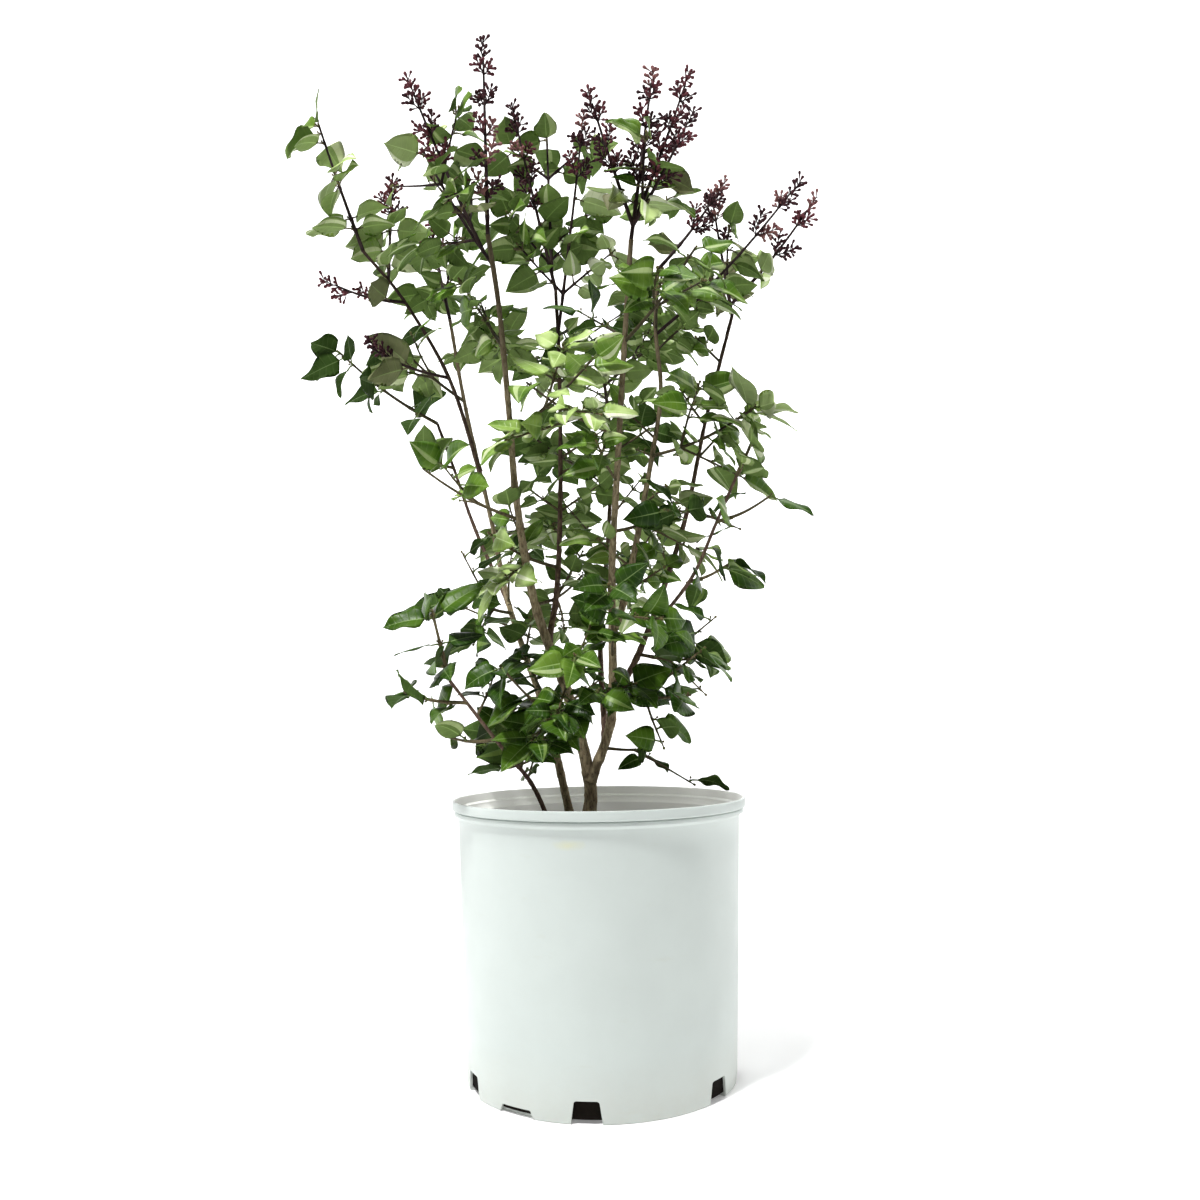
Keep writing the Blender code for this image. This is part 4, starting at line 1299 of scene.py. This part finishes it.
class Surface:
    """A material made of nodes. Their inputs may be numbers, colours or other nodes' outputs."""

    def __init__(self, name):
        self.material = bpy.data.materials.new(name)
        self.material.use_nodes = True
        self.tree = self.material.node_tree
        self.shader = self.tree.nodes["Principled BSDF"]

    def fill(self, node, inputs):
        for name, value in dict(inputs).items():
            socket = node.inputs[name]
            if isinstance(value, bpy.types.NodeSocket):
                self.tree.links.new(value, socket)
            elif socket.type == "RGBA":
                socket.default_value = (*value, 1)
            else:
                socket.default_value = value

    def node(self, kind, inputs, out=0, **settings):
        """Adds a node, and returns one of its outputs."""
        node = self.tree.nodes.new(kind)
        for name, value in settings.items():
            setattr(node, name, value)
        self.fill(node, inputs)
        return node.outputs[out]

    def math(self, operation, *values):
        return self.node("ShaderNodeMath", enumerate(values), operation=operation)

    def vector_math(self, operation, *values, out=0):
        return self.node("ShaderNodeVectorMath", enumerate(values), out, operation=operation)

    def mix(self, share, first, second):
        return self.node("ShaderNodeMix", {0: share, 6: first, 7: second}, 2, data_type="RGBA")

    def ramp(self, value, *stops):
        """A ramp of greys, from (place, grey) stops."""
        node = self.tree.nodes.new("ShaderNodeValToRGB")
        self.fill(node, {0: value})
        elements = node.color_ramp.elements
        while len(elements) < len(stops):
            elements.new(0.5)
        for element, (place, grey) in zip(elements, stops):
            element.position = place
            element.color = (grey, grey, grey, 1)
        return node.outputs[0]

    def place(self, kind="Object"):
        return self.tree.nodes.new("ShaderNodeTexCoord").outputs[kind]

    def height(self):
        return self.node("ShaderNodeSeparateXYZ", {0: self.place()}, 2)

    def noise(self, scale, detail=4.0, roughness=0.5, stretch=(1, 1, 1)):
        """Noise in the object's own metres."""
        place = self.node("ShaderNodeMapping", {"Vector": self.place(), "Scale": stretch})
        return self.node("ShaderNodeTexNoise", {
            "Vector": place, "Scale": scale, "Detail": detail, "Roughness": roughness}, "Fac")

    def patches(self, low, high, *noise):
        """Noise made into patches, between two of its levels."""
        return self.ramp(self.noise(*noise), (low, 0.0), (high, 1.0))

    def finish(self, colour, roughness, gloss, height, strength, distance):
        """The shader's colour, finish and relief. Returns the relief's normal."""
        normal = self.node("ShaderNodeBump", {"Strength": strength, "Distance": distance, "Height": height})
        self.fill(self.shader, {"Base Color": colour, "Roughness": roughness, "Specular IOR Level": gloss,
                                "Normal": normal})
        return normal


def leaf_material(name, first, second, vein, roughness, gloss, relief, through):
    """A leaf's surface: two greens that drift into each other, paler veins, and light that comes through."""
    leaf = Surface(name)
    colour = leaf.mix(leaf.patches(0.40, 0.60, 45, 3), first, second)
    along = leaf.node("ShaderNodeSeparateXYZ", {0: leaf.place("UV")})
    saw = leaf.math("PINGPONG", leaf.math("MULTIPLY", along, BLADE_ROWS / 2), 0.5)
    line = leaf.ramp(saw, (0.0, 1.0), (0.10, 0.0))
    fine = leaf.noise(900, 2)
    mottled = leaf.mix(leaf.math("MULTIPLY", fine, 0.08), colour, vein)
    veined = leaf.mix(leaf.math("MULTIPLY", line, 0.30), mottled, vein)
    height = leaf.math("SUBTRACT", leaf.math("MULTIPLY", fine, 0.5), line)
    normal = leaf.finish(veined, roughness, gloss, height, relief, 0.0004)
    glow = tuple(min(1.0, c * k) for c, k in zip(second, (1.9, 1.7, 1.0)))
    lit = leaf.node("ShaderNodeBsdfTranslucent", {"Color": glow, "Normal": normal})
    mixed = leaf.node("ShaderNodeMixShader", {0: through, 1: leaf.shader.outputs[0], 2: lit})
    leaf.fill(leaf.tree.nodes["Material Output"], {"Surface": mixed})
    return leaf.material


def rib_material(name, colour):
    rib = Surface(name)
    tint = rib.mix(rib.noise(300), colour, scaled(colour, 1.25))
    rib.finish(tint, 0.5, 0.15, rib.noise(1500), 0.2, 0.0002)
    return rib.material


def leaf_materials(tone):
    """Top, underside, rib and pale band, a painted sheen, of one tone of leaf."""
    first, second, under, painted_sheen = map(thousandths, TONES[tone][:4])
    vein = tuple(c * 0.70 + p * 0.30 for c, p in zip(second, (0.42, 0.55, 0.24)))
    return [leaf_material(f"leaf_{tone}", first, second, vein, 0.34, 0.16, 0.35, 0.10),
            leaf_material(f"leaf_{tone}_under", scaled(under, 0.82), under, vein, 0.65, 0.04, 0.5, 0.10),
            rib_material(f"leaf_{tone}_rib", vein),
            leaf_material(f"leaf_{tone}_band", scaled(painted_sheen, 0.72), painted_sheen, vein, 0.36, 0.14, 0.35, 0.08)]


def bark_material(name):
    """Bark: two browns in streaks along the stem, dark specks, darker just above the soil, and darker the
    younger it is.
    """
    bark = Surface(name)
    *colours, roughness = BARKS[name]
    first, second, speck = map(thousandths, colours)
    streaks = bark.patches(0.38, 0.62, 420, 5, 0.6, (1, 1, 0.3))
    dots = bark.patches(0.60, 0.66, 900, 2, 0.4, (1, 1, 0.45))
    # Darker just above the soil, and from 0.38 m up darker where the stems are younger
    young = bark.ramp(bark.height(), (0.20, 0.55), (0.28, 0.0), (0.38, 0.0), (0.60, 0.85))
    aged = bark.mix(young, bark.mix(streaks, first, second), scaled(first, 0.34))
    spotted = bark.mix(bark.math("MULTIPLY", dots, 0.45), aged, speck)
    bark.finish(spotted, roughness, 0.1, bark.math("SUBTRACT", streaks, dots), 0.5, 0.0005)
    return bark.material


def bud_material(name, first, second):
    bud = Surface(name)
    tint = bud.mix(bud.patches(0.35, 0.65, 260, 3), thousandths(first), thousandths(second))
    bud.finish(tint, 0.6, 0.1, bud.noise(2200, 2), 0.3, 0.0002)
    return bud.material


def pot_material(name, first, second, rub, through=0.0):
    """White moulded plastic: a faint cool tint, soft clouds of scuffing, handling marks and a faint stain.

    through is the strength of a painted glow, an emission that brightens the inner wall as if daylight came
    through the thin wall.
    """
    pot = Surface(name)
    clouded = pot.mix(pot.patches(0.35, 0.75, 9, 5, 0.6), first, second)
    rubs = pot.patches(0.62, 0.78, 26, 6, 0.7, (1, 1, 4))
    rubbed = pot.mix(pot.math("MULTIPLY", rubs, 0.35), clouded, rub)
    near_foot = pot.ramp(pot.math("MULTIPLY", pot.height(), 20), (0.0, 1.0), (0.9, 0.0))
    soiled = pot.math("MULTIPLY", pot.math("MULTIPLY", near_foot, pot.noise(60, 5, 0.7)), 0.5)
    dusty = pot.mix(soiled, rubbed, (0.48, 0.45, 0.38))
    offset = pot.vector_math("SUBTRACT", pot.place(), STAIN_PLACE)
    away = pot.vector_math("LENGTH", pot.vector_math("MULTIPLY", offset, STAIN_STRETCH), out="Value")
    patchy = pot.math("MULTIPLY", pot.math("ADD", away, pot.noise(120, 4, 0.6)), 0.5)
    stain = pot.math("MULTIPLY", pot.ramp(patchy, (0.3, 1.0), (0.8, 0.0)), 0.45)
    stained = pot.mix(stain, dusty, (0.62, 0.60, 0.30))
    rough = pot.ramp(pot.noise(40, 5, 0.6), (0.3, 0.36), (0.7, 0.5))
    pot.finish(stained, rough, 0.45, pot.noise(700, 3, 0.6), 0.12, 0.0003)
    # The emission is a painted glow; only the inner wall has it
    pot.fill(pot.shader, {"Emission Color": first, "Emission Strength": through, "Subsurface Weight": 0.05,
                          "Subsurface Radius": (0.004, 0.004, 0.004)})
    return pot.material


def soil_material(name, first, second):
    """Grains of two colours, darker deep down."""
    soil = Surface(name)
    first = thousandths(first)
    grains = soil.mix(soil.patches(0.35, 0.68, 500, 6, 0.7), first, thousandths(second))
    wet = soil.ramp(soil.math("MULTIPLY", soil.height(), 10), (0.2, 0.85), (0.9, 0.0))
    soil.finish(soil.mix(wet, grains, scaled(first, 0.2)), 0.92, 0.1, soil.noise(700, 6, 0.7), 0.9, 0.001)
    return soil.material


def arc(across, up, radius, start, end, steps):
    """Points of an arc round a centre, by angle in degrees from outward to up."""
    turns = [radians(start + (end - start) * k / steps) for k in range(steps + 1)]
    return [(across + radius * cos(t), up + radius * sin(t)) for t in turns]


def pot_profile():
    """The pot's section from the middle of its underside, up the outside, over the rim and down inside."""
    inner_top = POT_HEIGHT - RIM_BAND
    bead_low = inner_top - BEAD_HEIGHT
    neck = bead_low - 2 * MM
    edge = EDGE_RADIUS
    foot = WALL_FOOT_RADIUS
    lip = RIM_RADIUS - WALL
    underside = [(0, 1.2 * MM), (0.030, 1.2 * MM), (0.032, 0.4 * MM), (0.036, 0.4 * MM), (0.038, 1.2 * MM),
                 (0.078, 1.2 * MM), (0.081, 0), (foot - FOOT_CHAMFER, 0)]
    shares = [k / WALL_ROWS for k in range(1, WALL_ROWS)]
    wall = [(foot + (WALL_TOP_RADIUS - foot) * share, FOOT_CHAMFER + (neck - FOOT_CHAMFER) * share)
            for share in shares]
    return [
        *underside,
        *arc(foot - FOOT_CHAMFER, FOOT_CHAMFER, FOOT_CHAMFER, -70, 0, 3),
        *wall,
        (WALL_TOP_RADIUS, neck), (WALL_TOP_RADIUS + 0.6 * MM, neck + 0.8 * MM),
        *arc(BEAD_RADIUS - edge, bead_low + edge, edge, -60, 0, 2),
        *arc(BEAD_RADIUS - edge, inner_top - edge, edge, 0, 60, 2),
        (BEAD_RADIUS - 1.4 * edge, inner_top + 0.1 * MM),
        *arc(RIM_RADIUS - edge, inner_top + 2 * edge, edge, -70, 0, 2),
        *arc(RIM_RADIUS - edge, POT_HEIGHT - edge, edge, 0, 90, 4),
        *arc(lip + 0.7 * edge, POT_HEIGHT - 0.7 * edge, 0.7 * edge, 90, 180, 3),
        (lip - 0.6 * MM, inner_top + 1.5 * MM), (lip - 2.2 * MM, inner_top),
        (lip - 2.4 * MM, bead_low + MM), (WALL_TOP_RADIUS - WALL, neck),
        (foot - WALL + (WALL_TOP_RADIUS - foot) * FLOOR / neck, FLOOR), (0, FLOOR)]


def ring(radius, sides):
    """Points round Z, level."""
    return [(radius * cos(tau * k / sides), radius * sin(tau * k / sides)) for k in range(sides)]


def turned(profile, sides):
    """A closed profile of (radius, height) points turned round Z. It starts and ends on the axis."""
    points = []
    rings = []
    for radius, height in profile:
        new = [(x, y, height) for x, y in ring(radius, sides if radius else 1)]
        rings.append(range(len(points), len(points) + len(new)))
        points += new
    faces = []
    for low, high in zip(rings, rings[1:]):
        for k in range(sides):
            after = (k + 1) % sides
            corners = [low[k % len(low)], low[after % len(low)], high[after % len(high)], high[k % len(high)]]
            faces.append(list(dict.fromkeys(corners)))
    return points, faces


def notch(width, height, reach, turn):
    """The prism of one notch in the pot's foot, with rounded shoulders."""
    half = width / 2
    corner = min(NOTCH_CORNER, height / 3)
    inner = NOTCH_SHOULDER * half - corner
    outline = [(-half, -2 * MM), (half, -2 * MM)]
    outline += arc(inner, height - corner, corner, 0, 90, 4)
    outline += arc(-inner, height - corner, corner, 90, 180, 4)
    count = len(outline)
    spin = Matrix.Rotation(turn, 3, "Z")
    points = [spin @ Vector((radius, across, up))
              for radius in (WALL_FOOT_RADIUS - reach, RIM_RADIUS) for across, up in outline]
    faces = [list(range(count - 1, -1, -1)), list(range(count, 2 * count))]
    for k in range(count):
        after = (k + 1) % count
        faces.append([k, after, after + count, k + count])
    return points, faces


def make_pot():
    # One white plastic: the inner wall is painted far paler than the outside and given a painted glow,
    # painted light where the crown shades it
    pot = plain_object("nursery_pot", *turned(pot_profile(), POT_SIDES), [
        pot_material("pot_plastic", (0.570, 0.625, 0.598), (0.525, 0.575, 0.550), (0.51, 0.53, 0.45)),
        pot_material("pot_inside_painted_light", (0.930, 0.940, 0.900), (0.880, 0.890, 0.850), (0.70, 0.68, 0.60), 0.16)])
    # Faces that look inwards above the floor take the inner wall's painted light
    for face in pot.data.polygons:
        middle = face.center
        inward = face.normal.x * middle.x + face.normal.y * middle.y < -0.02 * middle.xy.length
        face.material_index = int(inward and middle.z > FLOOR)
    points = []
    faces = []
    for count, first, *sizes in NOTCHES:
        for k in range(count):
            shape = notch(*sizes, NOTCH_TURN + tau * (k + first) / count)
            faces += [[len(points) + corner for corner in face] for face in shape[1]]
            points += shape[0]
    cutter = plain_object("notches", points, faces)
    cut = pot.modifiers.new("notches", "BOOLEAN")
    cut.operation = "DIFFERENCE"
    cut.solver = "EXACT"
    cut.object = cutter
    bpy.context.view_layer.update()
    mesh = bpy.data.meshes.new_from_object(pot.evaluated_get(bpy.context.evaluated_depsgraph_get()))
    pot.modifiers.clear()
    pot.data = mesh
    bpy.data.objects.remove(cutter)
    mesh.shade_smooth()
    mesh.set_sharp_from_angle(angle=SHARP_ANGLE)
    finish_piece(pot, ["pot"])


def soil_height(x, y):
    """The soil's surface: low heaps, and a small mound round the stems."""
    lumps = sum(noise.noise(Vector((x, y, layer)) * scale) * most for scale, layer, most in SOIL_LUMPS)
    middle, rise, spread = SOIL_MOUND
    mound = rise * exp(-((x - middle) ** 2 + y ** 2) / spread)
    return SOIL_TOP - SOIL_BELOW + lumps + mound


def add_chip(piece, white, rng):
    """A flake of bark or a white grain, lying on the soil."""
    radius = SOIL_RADIUS * CHIP_SPREAD * sqrt(rng.random())
    turn = rng.uniform(0, tau)
    x, y = radius * cos(turn), radius * sin(turn)
    length = rng.uniform(*(GRAIN_LENGTH if white else CHIP_LENGTH))
    wide = length * (GRAIN_WIDTH if white else rng.uniform(*CHIP_WIDTH))
    thick = length * GRAIN_THICKNESS if white else rng.uniform(*CHIP_THICKNESS)
    spin = (Matrix.Rotation(rng.uniform(0, tau), 3, "Z") @ Matrix.Rotation(rng.gauss(0, CHIP_TILT), 3, "X")
            @ Matrix.Rotation(rng.gauss(0, CHIP_TILT), 3, "Y"))
    chip = []
    for level in (-0.5, 0.5):
        for k in range(CHIP_SIDES):
            around = tau * k / CHIP_SIDES + rng.uniform(-CHIP_EDGE, CHIP_EDGE)
            out = 0.5 * rng.uniform(*CHIP_CORNERS) * (1 - 0.2 * level)
            chip.append(Vector((length * out * cos(around), wide * out * sin(around), thick * level)))
    chip += [Vector((0, 0, -0.55 * thick)), Vector((0, 0, 0.55 * thick))]
    centre = Vector((x, y, soil_height(x, y) + thick * 0.3))
    slot = 3 if white else rng.choice((1, 1, 2))
    piece.add([centre + spin @ p for p in chip], ring_faces(2, CHIP_SIDES), slot)


def make_soil():
    """The mix in the pot: a lumpy surface over a plain body, with bark chips and white grains on it."""
    radii = [SOIL_RADIUS * k / SOIL_RINGS for k in range(1, SOIL_RINGS + 1)]
    surface = [(0, 0)] + [place for radius in radii for place in ring(radius, SOIL_SIDES)]
    points = [(x, y, soil_height(x, y)) for x, y in surface]
    base = FLOOR + GAP
    points += [(x, y, base) for x, y in ring(WALL_FOOT_RADIUS - WALL - SOIL_CLEAR, SOIL_SIDES)]
    points.append((0, 0, base))
    triangles = []
    quads = []
    last = len(points) - 1
    for k in range(SOIL_SIDES):
        after = (k + 1) % SOIL_SIDES
        triangles += [[0, 1 + k, 1 + after], [last, last - SOIL_SIDES + after, last - SOIL_SIDES + k]]
        for a in range(1, 1 + SOIL_RINGS * SOIL_SIDES, SOIL_SIDES):
            quads.append([a + k, a + SOIL_SIDES + k, a + SOIL_SIDES + after, a + after])
    body = Piece()
    body.add(points, [triangles, quads])
    rng = random.Random(SEED)
    for number in range(CHIPS + GRAINS):
        add_chip(body, number >= CHIPS, rng)
    body.make("bark_mix", [soil_material("mix_soil", (12, 8, 5), (40, 26, 16)),
                           soil_material("mix_bark", (30, 17, 10), (85, 50, 28)),
                           soil_material("mix_bark_grey", (55, 40, 28), (130, 100, 70)),
                           soil_material("mix_perlite", (550, 530, 480), (780, 760, 720))], "soil", ["soil"])


def bark_width(point, shift):
    """How much bark stands out or in at a point of a stem, in metres."""
    streaked = Vector((point.x, point.y, point.z * 0.35)) * 420 + Vector((shift, 0, 0))
    ridges = noise.noise(streaked) * RIDGE_DEPTH
    pores = noise.noise(Vector((point.x, point.y, point.z * 0.8)) * 900 + Vector((0, shift, 0)))
    return ridges + (PORE_HEIGHT if pores > PORE_LEVEL else 0.0) + noise.noise(point * 90) * LUMP_HEIGHT


def make_stem(name, stem, number, material):
    """A stem with its bark's relief, its nodes, and a collar where it leaves another stem."""
    bends = list(stem.bends)
    bends[0] = stem.parent.at_height(bends[0].z)[0] if stem.parent else bends[0] - UP * FOOT_DEPTH
    route = route_through(bends, BARK_STEP)
    total = length_of(route)
    widths = np.zeros((len(route), BARK_SIDES))
    phase = random.Random(SEED + 100 + number).uniform(0, FIRST_NODE)
    done = 0.0
    fine = np.array([np.array(p) for p in route])
    _, across, other = frames_along(fine)
    collar = COLLAR if stem.parent else FLARE - 1
    for k, centre in enumerate(route):
        if k:
            done += (route[k] - route[k - 1]).length
        slimming = (stem.foot_radius - stem.tip_radius) * (1 - done / total) ** FINE_TAPER
        radius = (stem.tip_radius + slimming) * (1 + collar * exp(-(done / COLLAR_LENGTH) ** 2))
        from_node = (done + phase) % STEM_NODES
        from_node = min(from_node, STEM_NODES - from_node)
        node_turn = pi / 2 * (int((done + phase + STEM_NODES / 2) // STEM_NODES) % 2)
        for side in range(BARK_SIDES):
            turn = tau * side / BARK_SIDES
            out = Vector(across[k]) * cos(turn) + Vector(other[k]) * sin(turn)
            faces_node = 0.6 + cos(2 * (turn - node_turn)) * 0.6
            swell = STEM_SWELL * exp(-(from_node / NODE_LENGTH) ** 2) * faces_node
            bark = bark_width(centre + out * radius, number * 7.3)
            widths[k, side] = radius * (1 + swell) + bark * min(1, radius / THIN_STEM)
    piece = Piece()
    piece.add(*fine_tube(fine, widths, BARK_SIDES))
    piece.make(f"{name}_bark", [material], "bark", [name])


def make_bush():
    stems, masses = grow_bush()
    spurs = finer_growth(stems, masses, random.Random(SEED * 5))
    barks = {name: bark_material(name) for name in BARKS}
    for number, (name, stem) in enumerate(stems.items()):
        make_stem(name, stem, number, barks["bark_tan" if name in TAN_STEMS else "bark_thin"])
    rng = random.Random(SEED * 3)
    blades = {tone: Piece() for tone in TONES}
    lower, upper, blossom = Piece(), Piece(), Piece()
    for mass in masses:
        height = sum(route[0].z + route[-1].z for route, _, _ in mass.shoots) / (2 * len(mass.shoots))
        palette = palette_of(mass, height)
        tones = {}
        piece = upper if height > HIGH_CROWN or "panicle" in mass.name else lower
        share = ARM_BLADE_SHARE if mass.young or mass.name in LEAFY_ARMS else BLADE_SHARE
        drawn = []
        for leaf in mass.leaves:
            tone = tones.setdefault(leaf.spray, rng.choice(palette))
            curled = mass.name == CURLED_MASS and leaf.root.z > CURLED_ABOVE
            if add_fine_leaf(blades[tone], piece, leaf, rng, TONES[tone][4], share, curled):
                drawn.append(leaf)
        mass.leaves = drawn
        add_sticks(piece, mass)
        for root, ahead, length in mass.clusters[::SPARSE_PANICLES.get(mass.name, 1)]:
            add_cluster(blossom, root, ahead, length, rng)
    for point, ahead, length, height, leaves in spurs:
        piece = upper if height > HIGH_CROWN else lower
        # Low spurs take darker tones, partly painted shade
        tone = rng.choice(LOW_PALETTE if height < LOW_CROWN else MIDDLE_PALETTE)
        bands = TONES[tone][4]
        roots = [leaf.root for leaf in leaves if add_fine_leaf(blades[tone], piece, leaf, rng, bands)]
        if roots:
            reach = max((root - point).dot(ahead) for root in roots)
            add_twig_stick(piece, point, ahead, min(length, reach + MM), roots)
    scale = bud_material("bud_scale", (80, 95, 30), (150, 120, 55))
    green, flushed = (rib_material(name, colour) for name, colour in (
        ("stalk_green", (0.095, 0.135, 0.035)), ("stalk_flushed", (0.085, 0.070, 0.035))))
    names = [mass.name for mass in masses]
    lower.make("twigs_lower", [barks["twig_brown"], green, scale], "foliage", names)
    upper.make("twigs_upper", [barks["twig_purple"], flushed, scale], "foliage", names)
    for tone, piece in blades.items():
        piece.make(f"leaves_{tone}", leaf_materials(tone), "foliage", names)
    blossom.make("panicles", [bud_material("bud_wine", (70, 18, 25), (150, 46, 55)),
                              bud_material("bud_rose", (160, 66, 70), (270, 130, 120)),
                              bud_material("bud_night", (28, 10, 13), (66, 22, 28)),
                              barks["panicle_stalk"]], "foliage", names)


def make_stage():
    """A pale floor that curves up into a pale backdrop."""
    turns = [pi / 2 * k / STAGE_STEPS for k in range(1, STAGE_STEPS + 1)]
    start = STAGE_BACK - STAGE_CURVE
    section = [(STAGE_FRONT, 0), (start, 0)]
    section += [(start + STAGE_CURVE * sin(turn), STAGE_CURVE * (1 - cos(turn))) for turn in turns]
    section.append((STAGE_BACK, STAGE_HEIGHT))
    points = [(x, y, z) for y, z in section for x in (-STAGE_WIDTH / 2, STAGE_WIDTH / 2)]
    faces = [[k, k + 1, k + 3, k + 2] for k in range(0, len(points) - 2, 2)]
    paper = Surface("stage_paper")
    paper.fill(paper.shader, {
        "Base Color": paper.mix(paper.noise(3, 2), (0.90, 0.90, 0.90), (0.92, 0.92, 0.92)),
        "Roughness": 0.85, "Emission Color": (1, 1, 1),
        "Emission Strength": paper.ramp(paper.height(), (0.0, 0.20), (0.6, 0.75))})
    stage = plain_object("floor", points, faces, [paper.material])
    stage.data.shade_smooth()


def make_lights():
    world = bpy.data.worlds.new("studio")
    bpy.context.scene.world = world
    world.use_nodes = True
    background = world.node_tree.nodes["Background"]
    background.inputs["Color"].default_value = (1, 1, 1, 1)
    background.inputs["Strength"].default_value = WORLD_LIGHT
    for name, (place, size, power) in LIGHTS.items():
        light = bpy.data.lights.new(name, "AREA")
        light.shape = "RECTANGLE"
        light.size, light.size_y = size
        light.energy = power
        obj = add_object(name, light)
        obj.location = place
        obj.rotation_euler = (LIT_PLACE - Vector(place)).to_track_quat("-Z", "Y").to_euler()


def make_camera():
    data = bpy.data.cameras.new("camera")
    data.sensor_width = SENSOR_MM
    data.lens = SENSOR_MM * FOCAL_PIXELS / IMAGE_SIDE
    camera = add_object("camera", data)
    camera.matrix_world = (Matrix.Translation(CAMERA_PLACE) @ Matrix.Rotation(pi / 2 + CAMERA_PITCH, 4, "X")
                           @ Matrix.Rotation(-CAMERA_ROLL, 4, "Z"))
    bpy.context.scene.camera = camera


make_camera()
make_stage()
make_lights()
make_pot()
make_soil()
make_bush()
bpy.context.scene.view_settings.view_transform = "Standard"
